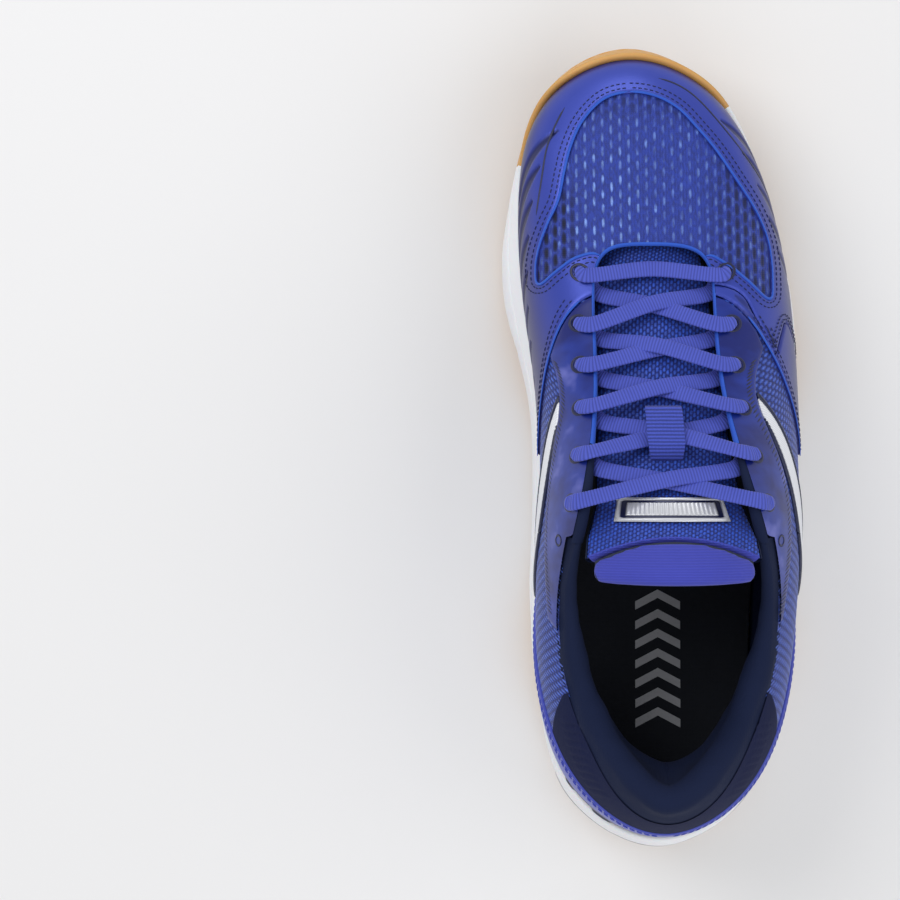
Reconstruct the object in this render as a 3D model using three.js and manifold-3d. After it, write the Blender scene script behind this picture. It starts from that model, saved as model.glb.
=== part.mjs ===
// Court shoe, right foot. Millimetres, +Z up, toe towards +Y, outer (lateral) side towards +X.
// The group holds one mesh for each piece that the shoe is sewn and glued together from.
import * as THREE from 'three';
import Module from 'manifold-3d';

// ---------------------------------------------------------------- driving sizes
const SHOE_LENGTH = 300;        // outsole, heel to toe
const WIDTH_SCALE = 1.0;        // widths of the last, 1 = standard fitting
const GAP = 0.3;                // clearance left between two separate pieces
const MESH_THICK = 0.9;         // knitted outer mesh
const LINING_THICK = 0.8;       // inner textile
const OVERLAY_THICK = 0.9;      // welded film overlays
const COLLAR_ROLL = 5.4;        // half thickness of the padded collar's top edge
const EDGE_ROLL = 1.0;          // half thickness of the throat edge
const HEEL_PAD = 10;            // extra padding behind the Achilles tendon
const COUNTER_THICK = 1.2;      // heel stiffener and toe stiffener
const SOLE_LIP = 1.9;           // midsole wall where it laps the upper
const TOE_SPRING = 0.0241;      // rise of the sole in front of the ball
const BALL_Y = 198;             // where the sole leaves the ground in front
const HEEL_BEVEL_Y = 31;        // where the sole leaves the ground behind
const TREAD_THICK = 4.2;        // outsole under the foot
const BOARD_THICK = 1.4;        // lasting board
const FOAM_THICK = 4.4;         // sockliner foam
const COVER_THICK = 0.8;        // sockliner top cloth
const EYELET_RADIUS = 2.5;
const LINING_HOLE_EXTRA = 0.8;  // the lining's hole is cut wider
const LACE_WIDTH = 7;
const LACE_THICK = 1.6;
const LACE_HOLE_WIDTH = 3.4;    // the lace folds up to pass an eyelet
const LACE_HOLE_THICK = 3.0;
const TONGUE_THICK = 4.2;
const TONGUE_SKIN = 0.8;
const CUFF_THICK = 9;

// ---------------------------------------------------------------- shape of the last
// Each rib runs from the feather edge (under the foot) up the side to the top line or the
// throat: [foot, low, high, top], as the four handles of a Bezier curve. Rib 0 is the toe,
// ribs 1-9 the outer side, rib 10 the heel and ribs 11-19 the inner side.
const RIBS = [
  [[-9, 290, 33], [-9, 314, 57], [-7, 272, 63], [-4.5, 224, 75]],
  [[10, 284, 32], [21, 302, 54], [12, 266, 64], [6, 224, 75]],
  [[25, 267, 27], [41, 281, 47], [28, 254, 66], [15, 222, 74]],
  [[35, 240, 20.5], [53, 247, 40], [40, 236, 67], [19.5, 214, 76]],
  [[42.5, 206, 17.5], [61, 208, 38], [47, 205, 72], [19, 195, 84]],
  [[43.5, 168, 19.5], [61, 168, 44], [50, 168, 80], [21, 164, 98]],
  [[41, 130, 23.5], [59, 130, 52], [55, 133, 94], [31, 129, 125]],
  [[38, 92, 26.5], [57, 92, 55], [53, 98, 80], [41, 97, 101]],
  [[37, 56, 28], [56, 56, 52], [48, 60, 76], [38, 61, 87]],
  [[29, 24, 29], [44, 16, 50], [37, 24, 86], [23, 33, 109]],
  [[1, 8, 29], [1, -8, 50], [1, 2, 92], [0, 13, 118]],
  [[-27, 24, 29], [-40, 16, 50], [-34, 24, 86], [-20, 33, 109]],
  [[-34, 56, 28], [-52, 56, 52], [-45, 60, 76], [-35, 61, 87]],
  [[-32, 92, 26.5], [-51, 92, 55], [-48, 98, 80], [-38, 97, 101]],
  [[-32, 130, 23.5], [-49, 130, 52], [-48, 133, 94], [-30, 129, 125]],
  [[-34, 168, 20], [-49, 168, 46], [-45, 168, 80], [-24, 164, 98]],
  [[-40, 206, 17.5], [-58, 208, 38], [-50, 205, 70], [-25, 195, 84]],
  [[-43, 240, 20.5], [-60, 247, 40], [-49, 236, 65], [-25, 214, 76]],
  [[-40, 268, 27], [-59, 281, 47], [-42, 254, 63], [-21, 222, 74]],
  [[-27, 285, 32], [-40, 303, 54], [-26, 266, 62], [-14, 224, 75]],
];
const RIB_COUNT = RIBS.length;
const HEEL_RIB = RIB_COUNT / 2;
const LENGTH_SCALE = SHOE_LENGTH / 300;

// Outline of the sole at its widest, seen from above, one point for each rib.
const SOLE_OUTLINE = [
  [-10, 300], [13, 291.5], [30, 272], [43, 245], [53.5, 208], [55, 170], [52.5, 130], [51, 92],
  [46.5, 54], [34, 17], [1, 0], [-31, 17], [-42.5, 54], [-46, 92], [-45, 130], [-46.5, 168],
  [-56, 208], [-54.5, 240], [-46, 272], [-32, 292],
];
// Height of the sole's top rim at each rib, and of the line where the gum rubber ends.
const RIM_Z = [48, 46, 36, 29, 27.4, 29.4, 32.6, 42.2, 39.8, 44.6, 53.5];
// Upper edge of the gum rubber in side view, [y, z]; in front of GUM_TOE_Y it covers the whole wall.
const GUM_EDGE = [
  [300, 47], [271, 35], [259, 23.6], [247, 17], [223, 10.5], [210, 8], [187, 12.4], [163, 5.8],
  [139, 3.6], [112, 3.4], [91, 7.4], [77, 12.8], [64, 9.4], [40, 6], [19, 8], [0, 15],
];
const GUM_TOE_Y = 268;

// u of the collar's front end, on the outer side; the inner side ends at RIB_COUNT - COLLAR_U
const COLLAR_U = 6.35;
const LATTICE_U = 52;           // every layer shares these stations, so none cuts its neighbour
const LATTICE_T = 8;

// ---------------------------------------------------------------- small helpers
const clamp = (v, lo, hi) => Math.min(hi, Math.max(lo, v));
const mix = (a, b, k) => a + (b - a) * k;
const smooth = (lo, hi, v) => {
  const k = clamp((v - lo) / (hi - lo), 0, 1);
  return k * k * (3 - 2 * k);
};
const steps = (from, to, count) => Array.from({ length: count + 1 }, (_, i) => mix(from, to, i / count));

// distance of u from the heel rib, 0 at the heel and 10 at the toe, on either side
const fromHeel = (u) => {
  const wrapped = ((u % RIB_COUNT) + RIB_COUNT) % RIB_COUNT;
  return Math.abs(wrapped - HEEL_RIB);
};

// value of a table that holds one number for each rib from toe to heel, same on both sides
function alongSide(table, u) {
  const k = clamp(HEEL_RIB - fromHeel(u), 0, HEEL_RIB);
  const i = Math.min(Math.floor(k), HEEL_RIB - 1);
  const f = k - i;
  const p = [i - 1, i, i + 1, i + 2].map((j) => table[j < 0 ? -j : j > HEEL_RIB ? 2 * HEEL_RIB - j : j]);
  return p[1] + 0.5 * f * (p[2] - p[0]
    + f * (2 * p[0] - 5 * p[1] + 4 * p[2] - p[3] + f * (3 * (p[1] - p[2]) + p[3] - p[0])));
}

// point of the last at u (round the shoe) and t (0 = feather edge, 1 = top line)
function last(u, t) {
  const i = Math.floor(u);
  const f = u - i;
  const b = [(1 - f) ** 3, 3 * f ** 3 - 6 * f ** 2 + 4, -3 * f ** 3 + 3 * f ** 2 + 3 * f + 1, f ** 3];
  const c = [(1 - t) ** 3, 3 * t * (1 - t) ** 2, 3 * t * t * (1 - t), t ** 3];
  const p = new THREE.Vector3();
  for (let j = 0; j < 4; j += 1) {
    const rib = RIBS[(((i - 1 + j) % RIB_COUNT) + RIB_COUNT) % RIB_COUNT];
    for (let k = 0; k < 4; k += 1) {
      p.addScaledVector(new THREE.Vector3(...rib[k]), (b[j] / 6) * c[k]);
    }
  }
  p.x *= WIDTH_SCALE;
  p.y *= LENGTH_SCALE;
  return p;
}

function lastNormal(u, t) {
  const e = 0.01;
  const du = last(u + e, t).sub(last(u - e, t));
  const dt = last(u, Math.min(t + e, 1)).sub(last(u, Math.max(t - e, 0)));
  return dt.cross(du).normalize();
}

const lastAt = (u, t, d) => last(u, t).addScaledVector(lastNormal(u, t), d);

// ---------------------------------------------------------------- solids
const wasm = await Module();
wasm.setup();

// closed solid from a list of points and triangles; points at one place become one
function solidOf(verts, tris) {
  const seen = new Map();
  const points = [];
  const index = [];
  for (let i = 0; i < verts.length; i += 3) {
    const key = [0, 1, 2].map((k) => Math.round(verts[i + k] * 1000)).join();
    if (!seen.has(key)) {
      seen.set(key, points.length / 3);
      points.push(verts[i], verts[i + 1], verts[i + 2]);
    }
    index.push(seen.get(key));
  }
  const kept = [];
  for (let i = 0; i < tris.length; i += 3) {
    const [a, b, c] = [index[tris[i]], index[tris[i + 1]], index[tris[i + 2]]];
    if (a !== b && b !== c && c !== a) kept.push(a, b, c);
  }
  return new wasm.Manifold(new wasm.Mesh({
    numProp: 3,
    vertProperties: new Float32Array(points),
    triVerts: new Uint32Array(kept),
  }));
}

// the same triangles, turned inside out if the solid came out negative
function facingOut(verts, tris) {
  const made = solidOf(verts, tris);
  if (made.volume() >= 0) return made;
  const turned = [];
  for (let i = 0; i < tris.length; i += 3) turned.push(tris[i], tris[i + 2], tris[i + 1]);
  return solidOf(verts, turned);
}

function solidOfGeometry(geometry) {
  const plain = geometry.index ? geometry.toNonIndexed() : geometry;
  const verts = Array.from(plain.attributes.position.array);
  return solidOf(verts, verts.slice(0, verts.length / 3).map((_, i) => i));
}

function geometryOf(solid) {
  const mesh = solid.getMesh();
  const geometry = new THREE.BufferGeometry();
  geometry.setAttribute('position', new THREE.BufferAttribute(new Float32Array(mesh.vertProperties), 3));
  geometry.setIndex(new THREE.BufferAttribute(new Uint32Array(mesh.triVerts), 1));
  geometry.computeVertexNormals();
  return geometry;
}

// Solid between two grids of points: outer[i][j] and inner[i][j]. closed joins the last row to
// the first; otherwise both ends are capped.
function slab(outer, inner, closed) {
  const rows = outer.length;
  const cols = outer[0].length;
  const verts = [];
  [outer, inner].forEach((grid) => grid.forEach((row) => row.forEach((p) => verts.push(p.x, p.y, p.z))));
  const at = (side, i, j) => side * rows * cols + (i % rows) * cols + j;
  const tris = [];
  const quad = (a, b, c, d) => tris.push(a, b, c, a, c, d);
  for (let i = 0; i < (closed ? rows : rows - 1); i += 1) {
    for (let j = 0; j < cols - 1; j += 1) {
      quad(at(0, i, j), at(0, i, j + 1), at(0, i + 1, j + 1), at(0, i + 1, j));
      quad(at(1, i, j), at(1, i + 1, j), at(1, i + 1, j + 1), at(1, i, j + 1));
    }
    quad(at(0, i, 0), at(0, i + 1, 0), at(1, i + 1, 0), at(1, i, 0));
    quad(at(0, i, cols - 1), at(1, i, cols - 1), at(1, i + 1, cols - 1), at(0, i + 1, cols - 1));
  }
  if (!closed) {
    for (let j = 0; j < cols - 1; j += 1) {
      quad(at(0, 0, j), at(1, 0, j), at(1, 0, j + 1), at(0, 0, j + 1));
      quad(at(0, rows - 1, j), at(0, rows - 1, j + 1), at(1, rows - 1, j + 1), at(1, rows - 1, j));
    }
  }
  return facingOut(verts, tris);
}

// Solid whose skin is one closed loop of rows; each row starts and ends on the shoe's centre
// line, where the two sides meet.
function zipped(rows) {
  const cols = rows[0].length;
  const verts = rows.flat().flatMap((p) => [p.x, p.y, p.z]);
  const tris = [];
  rows.forEach((_, i) => {
    const a = i * cols;
    const b = ((i + 1) % rows.length) * cols;
    for (let j = 0; j < cols - 1; j += 1) {
      tris.push(a + j, a + j + 1, b + j + 1, a + j, b + j + 1, b + j);
    }
  });
  return facingOut(verts, tris);
}

// the biggest of the bodies that a cut leaves, without the slivers beside it
const largest = (solid) => solid.decompose().sort((a, b) => b.volume() - a.volume())[0];

// prism with a side-view outline of [y, z] points, between two x planes
function sidePrism(points, x0, x1) {
  const shape = new THREE.Shape(points.map(([y, z]) => new THREE.Vector2(y * LENGTH_SCALE, z)));
  const geometry = new THREE.ExtrudeGeometry(shape, { depth: x1 - x0, bevelEnabled: false, curveSegments: 6 });
  geometry.applyMatrix4(new THREE.Matrix4().set(0, 0, 1, x0, 1, 0, 0, 0, 0, 1, 0, 0, 0, 0, 0, 1));
  return solidOfGeometry(geometry);
}

// prism with a plan-view outline of [x, y] points, between two heights
function planPrism(points, z0, z1) {
  const shape = new THREE.Shape(points.map(([x, y]) => new THREE.Vector2(x * WIDTH_SCALE, y * LENGTH_SCALE)));
  const geometry = new THREE.ExtrudeGeometry(shape, { depth: z1 - z0, bevelEnabled: false, curveSegments: 6 });
  geometry.translate(0, 0, z0);
  return solidOfGeometry(geometry);
}

// smooth curve through a few outline points, as more points
const rounded = (points, count) => new THREE.SplineCurve(points.map(([a, b]) => new THREE.Vector2(a, b)))
  .getPoints(count)
  .map((p) => [p.x, p.y]);

// outline moved outwards by d: every point goes along the bisector of its two edges
function grown(points, d) {
  const turn = points.reduce((sum, p, i) => {
    const q = points[(i + 1) % points.length];
    return sum + p[0] * q[1] - q[0] * p[1];
  }, 0) > 0 ? 1 : -1;
  return points.map((p, i) => {
    const a = points[(i + points.length - 1) % points.length];
    const b = points[(i + 1) % points.length];
    const n1 = new THREE.Vector2(p[1] - a[1], a[0] - p[0]).normalize();
    const n2 = new THREE.Vector2(b[1] - p[1], p[0] - b[0]).normalize();
    const n = n1.clone().add(n2).normalize();
    const grow = (d * turn) / Math.max(0.5, n.dot(n1));
    return [p[0] + n.x * grow, p[1] + n.y * grow];
  });
}

// top of the outer panels: the throat edge in front, the collar cloth's seam behind
const seamT = (u) => mix(0.955, 0.86, smooth(1.6, 0.2, fromHeel(u)));
const topT = (u) => mix(1, seamT(u), smooth(HEEL_RIB - COLLAR_U + 0.02, HEEL_RIB - COLLAR_U, fromHeel(u)));

// the shared stations between two values, with both ends
function between(lo, hi, pitch) {
  const inside = [];
  for (let i = Math.floor(lo / pitch) + 1; i * pitch < hi - pitch * 0.2; i += 1) {
    if (i * pitch > lo + pitch * 0.2) inside.push(i * pitch);
  }
  return [lo, ...inside, hi];
}
const COLLAR_BREAKS = [COLLAR_U - 0.02, COLLAR_U, RIB_COUNT - COLLAR_U, RIB_COUNT - COLLAR_U + 0.02];
const uBetween = (lo, hi) => [
  ...between(lo, hi, RIB_COUNT / LATTICE_U),
  ...COLLAR_BREAKS.filter((u) => u > lo + 0.02 && u < hi - 0.02),
].sort((a, b) => a - b);
const tBetween = (lo, hi) => between(lo, hi, 1 / LATTICE_T);

// Cloth layer of the upper between two offsets from the last. t0 and t1 are shares of the
// height up to topT.
function layer(us, t0, t1, dIn, dOut, closed) {
  const ts = tBetween(t0, t1);
  const grid = (d) => us.map((u) => ts.map((t) => lastAt(u, t * topT(u), d)));
  return slab(grid(dOut), grid(dIn), closed);
}

// ---------------------------------------------------------------- levels of the upper
const MESH_OUT = 0;
const MESH_IN = -MESH_THICK;
const LINING_OUT = MESH_IN - GAP - COUNTER_THICK - GAP;
const LINING_IN = LINING_OUT - LINING_THICK;
const THROAT_LINING_OUT = MESH_IN - GAP;
const OVER_IN = GAP;
const OVER_OUT = OVER_IN + OVERLAY_THICK;
const ALL_U = uBetween(0, RIB_COUNT).slice(0, -1);
const FAR = 90;

// ---------------------------------------------------------------- sole
const outlineCurve = new THREE.CatmullRomCurve3(
  SOLE_OUTLINE.map(([x, y]) => new THREE.Vector3(x * WIDTH_SCALE, y * LENGTH_SCALE, 0)),
  true,
  'catmullrom',
  0.5,
);
const outlineAt = (u) => outlineCurve.getPoint((((u % RIB_COUNT) + RIB_COUNT) % RIB_COUNT) / RIB_COUNT);

// height of the gum's upper edge at u
const gumLine = GUM_EDGE.map(([y, z]) => [y * LENGTH_SCALE, z]);
function gumZ(u) {
  const y = outlineAt(u).y;
  if (y > GUM_TOE_Y * LENGTH_SCALE) return alongSide(RIM_Z, u) + 0.6;
  const i = clamp(gumLine.findIndex(([edgeY]) => edgeY <= y), 1, gumLine.length - 1);
  const [y0, z0] = gumLine[i - 1];
  const [y1, z1] = gumLine[i];
  return mix(z0, z1, clamp((y0 - y) / (y0 - y1), 0, 1));
}

// height of the tread above the ground at a distance y from the heel
function treadZ(y) {
  const s = y / LENGTH_SCALE;
  const toe = s > BALL_Y ? TOE_SPRING * (s - BALL_Y) ** 1.5 : 0;
  const heel = s < HEEL_BEVEL_Y ? 0.055 * (HEEL_BEVEL_Y - s) ** 1.55 : 0;
  const arch = s > 100 && s < 128 ? 1.2 * Math.sin(((s - 100) / 28) * Math.PI) ** 2 : 0;
  return toe + heel + arch;
}

// point of the upper at a given height, moved outwards by d
function upperAtHeight(u, z, d) {
  let lo = 0;
  let hi = 0.8;
  for (let i = 0; i < 24; i += 1) {
    const t = (lo + hi) / 2;
    if (lastAt(u, t, d).z < z) lo = t;
    else hi = t;
  }
  return lastAt(u, lo, d);
}

// outside wall of the sole: s = 0 at the top rim, 1 at the edge of the tread
function soleWall(u, s) {
  const rimZ = alongSide(RIM_Z, u);
  const rim = upperAtHeight(u, rimZ, OVER_OUT + GAP + SOLE_LIP);
  const out = outlineAt(u);
  const next = outlineAt(u + 0.05).sub(outlineAt(u - 0.05)).normalize();
  const inward = new THREE.Vector3(next.y, -next.x, 0).multiplyScalar(-1);
  const centreward = new THREE.Vector3(-out.x, 0, 0);
  if (inward.dot(centreward) < 0 && Math.abs(out.x) > 15) inward.negate();
  if (Math.abs(out.x) <= 15) inward.set(0, out.y > 100 ? -1 : 1, 0);
  const edge = out.clone().addScaledVector(inward, 5 + 9 * smooth(2.2, 0, fromHeel(u)));
  edge.z = treadZ(edge.y) + 0.7;
  const bulge = out.clone().sub(rim.clone().setZ(0).add(edge.clone().setZ(0)).multiplyScalar(0.125));
  bulge.multiplyScalar(1 / 0.75);
  const high = bulge.clone().setZ(mix(edge.z, rimZ, 0.62));
  const low = bulge.clone().setZ(mix(edge.z, rimZ, 0.12));
  const c = [(1 - s) ** 3, 3 * s * (1 - s) ** 2, 3 * s * s * (1 - s), s ** 3];
  return new THREE.Vector3()
    .addScaledVector(rim, c[0])
    .addScaledVector(high, c[1])
    .addScaledVector(low, c[2])
    .addScaledVector(edge, c[3]);
}

const SPINE_TOE = 40;           // the centre line stops this far inside the toe and the heel
const SPINE_HEEL = 26;
const LOOP_U = steps(0, RIB_COUNT, LATTICE_U).slice(0, -1);

// point on the centre line of a loop of points, level with the point at u
function spine(loop, u) {
  const a = loop(u);
  const b = loop(RIB_COUNT - u);
  const mid = a.clone().lerp(b, 0.5);
  const y = clamp(mid.y, loop(HEEL_RIB).y + SPINE_HEEL, loop(0).y - SPINE_TOE);
  if (y === mid.y) return new THREE.Vector3(centreX(y), y, mid.z);
  let lo = 0;
  let hi = HEEL_RIB;
  for (let i = 0; i < 20; i += 1) {
    const w = (lo + hi) / 2;
    if (loop(w).y + loop(RIB_COUNT - w).y > 2 * y) lo = w;
    else hi = w;
  }
  return new THREE.Vector3(centreX(y), y, (loop(lo).z + loop(RIB_COUNT - lo).z) / 2);
}

// the centre line seen from above
const centreX = (y) => WIDTH_SCALE * (1.5 - 6.5 * smooth(60, 260, y / LENGTH_SCALE));

function soleBlock() {
  const wallS = [0, 0.12, 0.28, 0.45, 0.62, 0.8, 1];
  const radial = [0.25, 0.6, 1];
  return zipped(LOOP_U.map((u) => {
    const wall = wallS.map((s) => soleWall(u, s));
    const under = radial.map((k) => {
      const p = wall[wall.length - 1].clone().lerp(spine((w) => soleWall(w, 1), u), k);
      p.z = treadZ(p.y);
      return p;
    });
    const top = spine((w) => soleWall(w, 0), u).setZ(40);
    return [top, ...wall, ...under];
  }));
}

// everything below the line where the gum rubber meets the foam
function gumRegion(lift) {
  return zipped(LOOP_U.map((u) => {
    const out = outlineAt(u);
    const mid = spine(outlineAt, u);
    const inDir = mid.clone().sub(out).normalize();
    const inset = 3.6 + 10 * smooth(7.2, 8.6, fromHeel(u));
    const edge = (d, z) => out.clone().addScaledVector(inDir, d).setZ(z);
    const gum = gumZ(u) + lift;
    const floor = (p) => p.setZ(treadZ(p.y) + TREAD_THICK + lift);
    return [
      mid.clone().setZ(-30),
      edge(-14, -30),
      edge(-14, gum),
      edge(inset, gum),
      floor(edge(inset + 1, 0)),
      floor(out.clone().lerp(mid, 0.6)),
      floor(mid.clone()),
    ];
  }));
}

// room that the upper takes in the sole
function upperRoom(d) {
  return zipped(LOOP_U.map((u) => {
    const foot = (w) => lastAt(w, 0, d);
    const low = spine(foot, u);
    return [
      low.clone().setZ(low.z - GAP),
      ...tBetween(0, 0.625).map((t) => lastAt(u, t * topT(u), d).add(new THREE.Vector3(0, 0, t === 0 ? -GAP : 0))),
      low.clone().setZ(120),
    ];
  }));
}

// flat piece under the foot: levels are [inset, height] pairs above the feather edge
function footPlate(levels) {
  const foot = (w) => last(w, 0);
  return zipped(LOOP_U.map((u) => {
    const mid = spine(foot, u);
    const out = foot(u);
    const dir = mid.clone().sub(out).setZ(0).normalize();
    const rim = levels.map(([inset, z]) => out.clone().addScaledVector(dir, inset).add(new THREE.Vector3(0, 0, z)));
    const low = mid.clone().setZ(mid.z + levels[0][1]);
    const high = mid.clone().setZ(mid.z + levels[levels.length - 1][1]);
    return [low, ...rim, high];
  }));
}

const solids = {};
const sole = soleBlock();
const room = upperRoom(OVER_OUT + GAP);
solids.outsole = largest(sole.intersect(gumRegion(0)).subtract(room));
solids.midsole = largest(sole.subtract(gumRegion(GAP)).subtract(room));

// silver strip let into the heel of the midsole, wrapping round the back
const STRIP_SIDE = rounded([[-6, 36], [2, 37.5], [12, 34.5], [27, 23.5], [14, 26], [2, 28.5], [-6, 29]], 24);
const wallShell = (dIn, dOut) => {
  const us = steps(7.6, 12.4, 24);
  const grid = (d) => us.map((u) => steps(0.05, 0.95, 8).map((s) => {
    const p = soleWall(u, s);
    const du = soleWall(u + 0.02, s).sub(soleWall(u - 0.02, s));
    const ds = soleWall(u, Math.min(s + 0.02, 1)).sub(soleWall(u, Math.max(s - 0.02, 0)));
    return p.addScaledVector(du.cross(ds).normalize(), d);
  }));
  return slab(grid(dOut), grid(dIn), false);
};
const STRIP_DEPTH = 0.8;
solids.heel_strip = wallShell(-STRIP_DEPTH, 0).intersect(sidePrism(STRIP_SIDE, -FAR, FAR));
const stripRecess = wallShell(-STRIP_DEPTH - GAP, 2).intersect(sidePrism(grown(STRIP_SIDE, GAP), -FAR, FAR));
solids.midsole = largest(solids.midsole.subtract(stripRecess));

solids.lasting_board = footPlate([[3.4, GAP], [3.4, GAP + BOARD_THICK]]);
const FOAM_Z = GAP + BOARD_THICK + GAP;
const LINER_INSET = 1.8;
const BOARD_INSET = 3.4;
solids.sockliner_foam = footPlate([
  [BOARD_INSET, FOAM_Z],
  [LINER_INSET, FOAM_Z + FOAM_THICK],
  [BOARD_INSET, FOAM_Z + FOAM_THICK],
]);
const COVER_Z = FOAM_Z + FOAM_THICK + GAP;
solids.sockliner_cover = footPlate([
  [BOARD_INSET, COVER_Z],
  [LINER_INSET, COVER_Z],
  [LINER_INSET, COVER_Z + COVER_THICK],
  [BOARD_INSET, COVER_Z + COVER_THICK],
]);

// ---------------------------------------------------------------- outlines of the panels
// Side-view outlines are [y, z] points, plan outlines are [x, y] points.
const EYESTAY_LOW = [[186, 72], [172, 82], [157, 87.5], [130, 90.4], [108, 91], [88, 89]];
const OVERLAY_REAR = [
  [214, 92], [207.4, 80.3], [186.4, 75], [171, 70.1], [150, 61.9], [146.3, 59.6], [149.5, 53],
  [148, 46], [138, 38], [126.4, 30], [120, 14],
];
const TOE_REAR_OUTER = [
  [216, 98], [209, 78], [196, 75], [184, 73], [191, 66], [196, 60], [190, 54], [183, 47], [176, 38], [168, 16],
];
const MESH_WINDOW = [
  [-13, 280], [-26, 270], [-33.8, 252.7], [-37.5, 234.8], [-45, 209], [-34, 213], [-21, 219],
  [-12, 200], [6, 200], [15.4, 219], [30, 214], [42, 204], [41, 222], [36, 238], [27, 256],
  [17, 270], [4, 278.5],
];
const BAND_TOP = [[139, 37], [112.5, 49.9], [97.9, 55.1], [69.4, 64.5], [45.4, 71.6], [10.5, 82.5], [-12, 86]];
const COUNTER_TOP = [[45.4, 20], [45.4, 40.1], [38, 53], [25, 61], [8.3, 67.5], [-12, 70]];
const REAR_SEAM = [[64, 100], [60.4, 88], [45.4, 71], [-12, 71], [-12, 140], [64, 140]];
const BLADE = [
  [169, 84.5], [163, 86], [156, 87], [130, 86.5], [112, 80], [97, 66], [88, 55], [101, 57], [118, 68],
  [133, 74.5], [150, 78.5], [161, 81.8],
];
const BLADE_BORDER = 1.6;

// ---------------------------------------------------------------- collar
const collarUs = uBetween(COLLAR_U + 0.012, RIB_COUNT - COLLAR_U - 0.012);
const throatUs = uBetween(-COLLAR_U + 0.12, COLLAR_U - 0.12);

// half thickness of the padded edge; it swells from the throat's end to the ankle
const rollAt = (u) => mix(EDGE_ROLL + 0.6, COLLAR_ROLL, smooth(HEEL_RIB - COLLAR_U, 1.6, fromHeel(u)));
// thickness of the padding and its cloth, from the outside in
function padAt(u, t) {
  const heel = smooth(3.2, 0.2, fromHeel(u));
  const swell = heel * HEEL_PAD * Math.sin(Math.PI * clamp((t - 0.45) / 0.55, 0, 1));
  const thin = 2 * (EDGE_ROLL + 0.75);
  return mix(thin, 2 * rollAt(u), smooth(0.3, 0.75, t)) + swell;
}

// Section of the collar, as points set in by d from the finished surface: up the outside from
// t0, over the edge and down the inside to t1. Angles are those of the rounded edge.
function collarOutside(u, ts, d, angle) {
  const r = rollAt(u);
  const side = [...ts.map((t) => t * topT(u)), 1].map((t) => lastAt(u, t, -d));
  const n = lastNormal(u, 1);
  const up = last(u, 1).sub(last(u, 0.95)).normalize();
  const centre = lastAt(u, 1, -r);
  const arc = steps(0, angle, 3).slice(1).map((a) => centre.clone()
    .addScaledVector(n, (r - d) * Math.cos(a))
    .addScaledVector(up, (r - d) * Math.sin(a)));
  return [...side, ...arc];
}
function collarInside(u, ts, d, angle) {
  const r = rollAt(u);
  const side = [...ts.map((t) => t * topT(u)), 1].map((t) => lastAt(u, t, -padAt(u, t) + d));
  const n = lastNormal(u, 1);
  const up = last(u, 1).sub(last(u, 0.95)).normalize();
  const centre = lastAt(u, 1, -r);
  const arc = steps(Math.PI, Math.PI - angle, 3).slice(1).map((a) => centre.clone()
    .addScaledVector(n, (r - d) * Math.cos(a))
    .addScaledVector(up, (r - d) * Math.sin(a)));
  return [...side, ...arc];
}

const RIGHT_ANGLE = Math.PI / 2;
const CLOTH = LINING_THICK;
const FOAM_FROM_T = 0.5;
const FOAM_CLEAR = 1.2;          // the foam keeps clear of its cloth where the heel pad swells
const SEAM_GAP = 0.012;          // share of the height left open at the collar seam

function collarCloth() {
  const whole = (d) => collarUs.map((u) => {
    const out = collarOutside(u, [1 + SEAM_GAP], d, RIGHT_ANGLE);
    const inn = collarInside(u, tBetween(0.03, 1), d, RIGHT_ANGLE - 0.2).reverse();
    return [...out, ...inn];
  });
  return slab(whole(0), whole(CLOTH), false);
}

function collarFoam() {
  const d = MESH_THICK + GAP;
  const foamTs = tBetween(FOAM_FROM_T, 1);
  const outside = collarUs.map((u) => collarOutside(u, foamTs, d, RIGHT_ANGLE - 0.1));
  const inside = collarUs.map((u) => collarInside(u, foamTs, CLOTH + FOAM_CLEAR, RIGHT_ANGLE - 0.1));
  return slab(outside, inside, false);
}

// ---------------------------------------------------------------- upper
const rearCut = sidePrism(REAR_SEAM, -FAR, FAR);
const rearCutWide = sidePrism(grown(REAR_SEAM, GAP), -FAR, FAR);

const FRONT_U = 4.2;            // vamp mesh ends here under the overlays, on both sides
const outerBase = (from, to) => layer(uBetween(from, to), 0, 1, MESH_IN, MESH_OUT, false);
const JOIN = 0.012;             // seam gap round the shoe, in ribs
solids.vamp_mesh = outerBase(-FRONT_U, FRONT_U);
const lateralBase = outerBase(FRONT_U + JOIN, HEEL_RIB - JOIN);
const medialBase = outerBase(HEEL_RIB + JOIN, RIB_COUNT - FRONT_U - JOIN);
solids.quarter_mesh_lateral = largest(lateralBase.subtract(rearCutWide));
solids.quarter_mesh_medial = largest(medialBase.subtract(rearCutWide));
const heelBase = outerBase(HEEL_RIB - 3.2, HEEL_RIB + 3.2);
solids.rear_quarter = largest(heelBase.intersect(rearCut));

const overlays = layer(ALL_U, 1 / LATTICE_T, 0.988, OVER_IN, OVER_OUT, true);
const inner = (points) => sidePrism(points, -FAR, 0);
const outer = (points) => sidePrism(points, 0, FAR);
const closeFront = (rear) => [...rear, [320, -10], [320, 110], [rear[0][0], 110]];
const plug = planPrism(MESH_WINDOW, -10, 140);
const plugWide = planPrism(grown(MESH_WINDOW, -GAP), -10, 140);

const toeOuter = outer(closeFront(TOE_REAR_OUTER));
const toeInner = inner(closeFront(OVERLAY_REAR));
const saddleOuter = outer(closeFront(OVERLAY_REAR));
solids.toe_overlay = largest(overlays.intersect(toeOuter.add(toeInner)).subtract(plug));
solids.saddle_lateral = largest(overlays.intersect(saddleOuter)
  .subtract(outer(closeFront(TOE_REAR_OUTER.map(([y, z]) => [y - GAP * 1.4, z]))))
  .subtract(plug));

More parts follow.
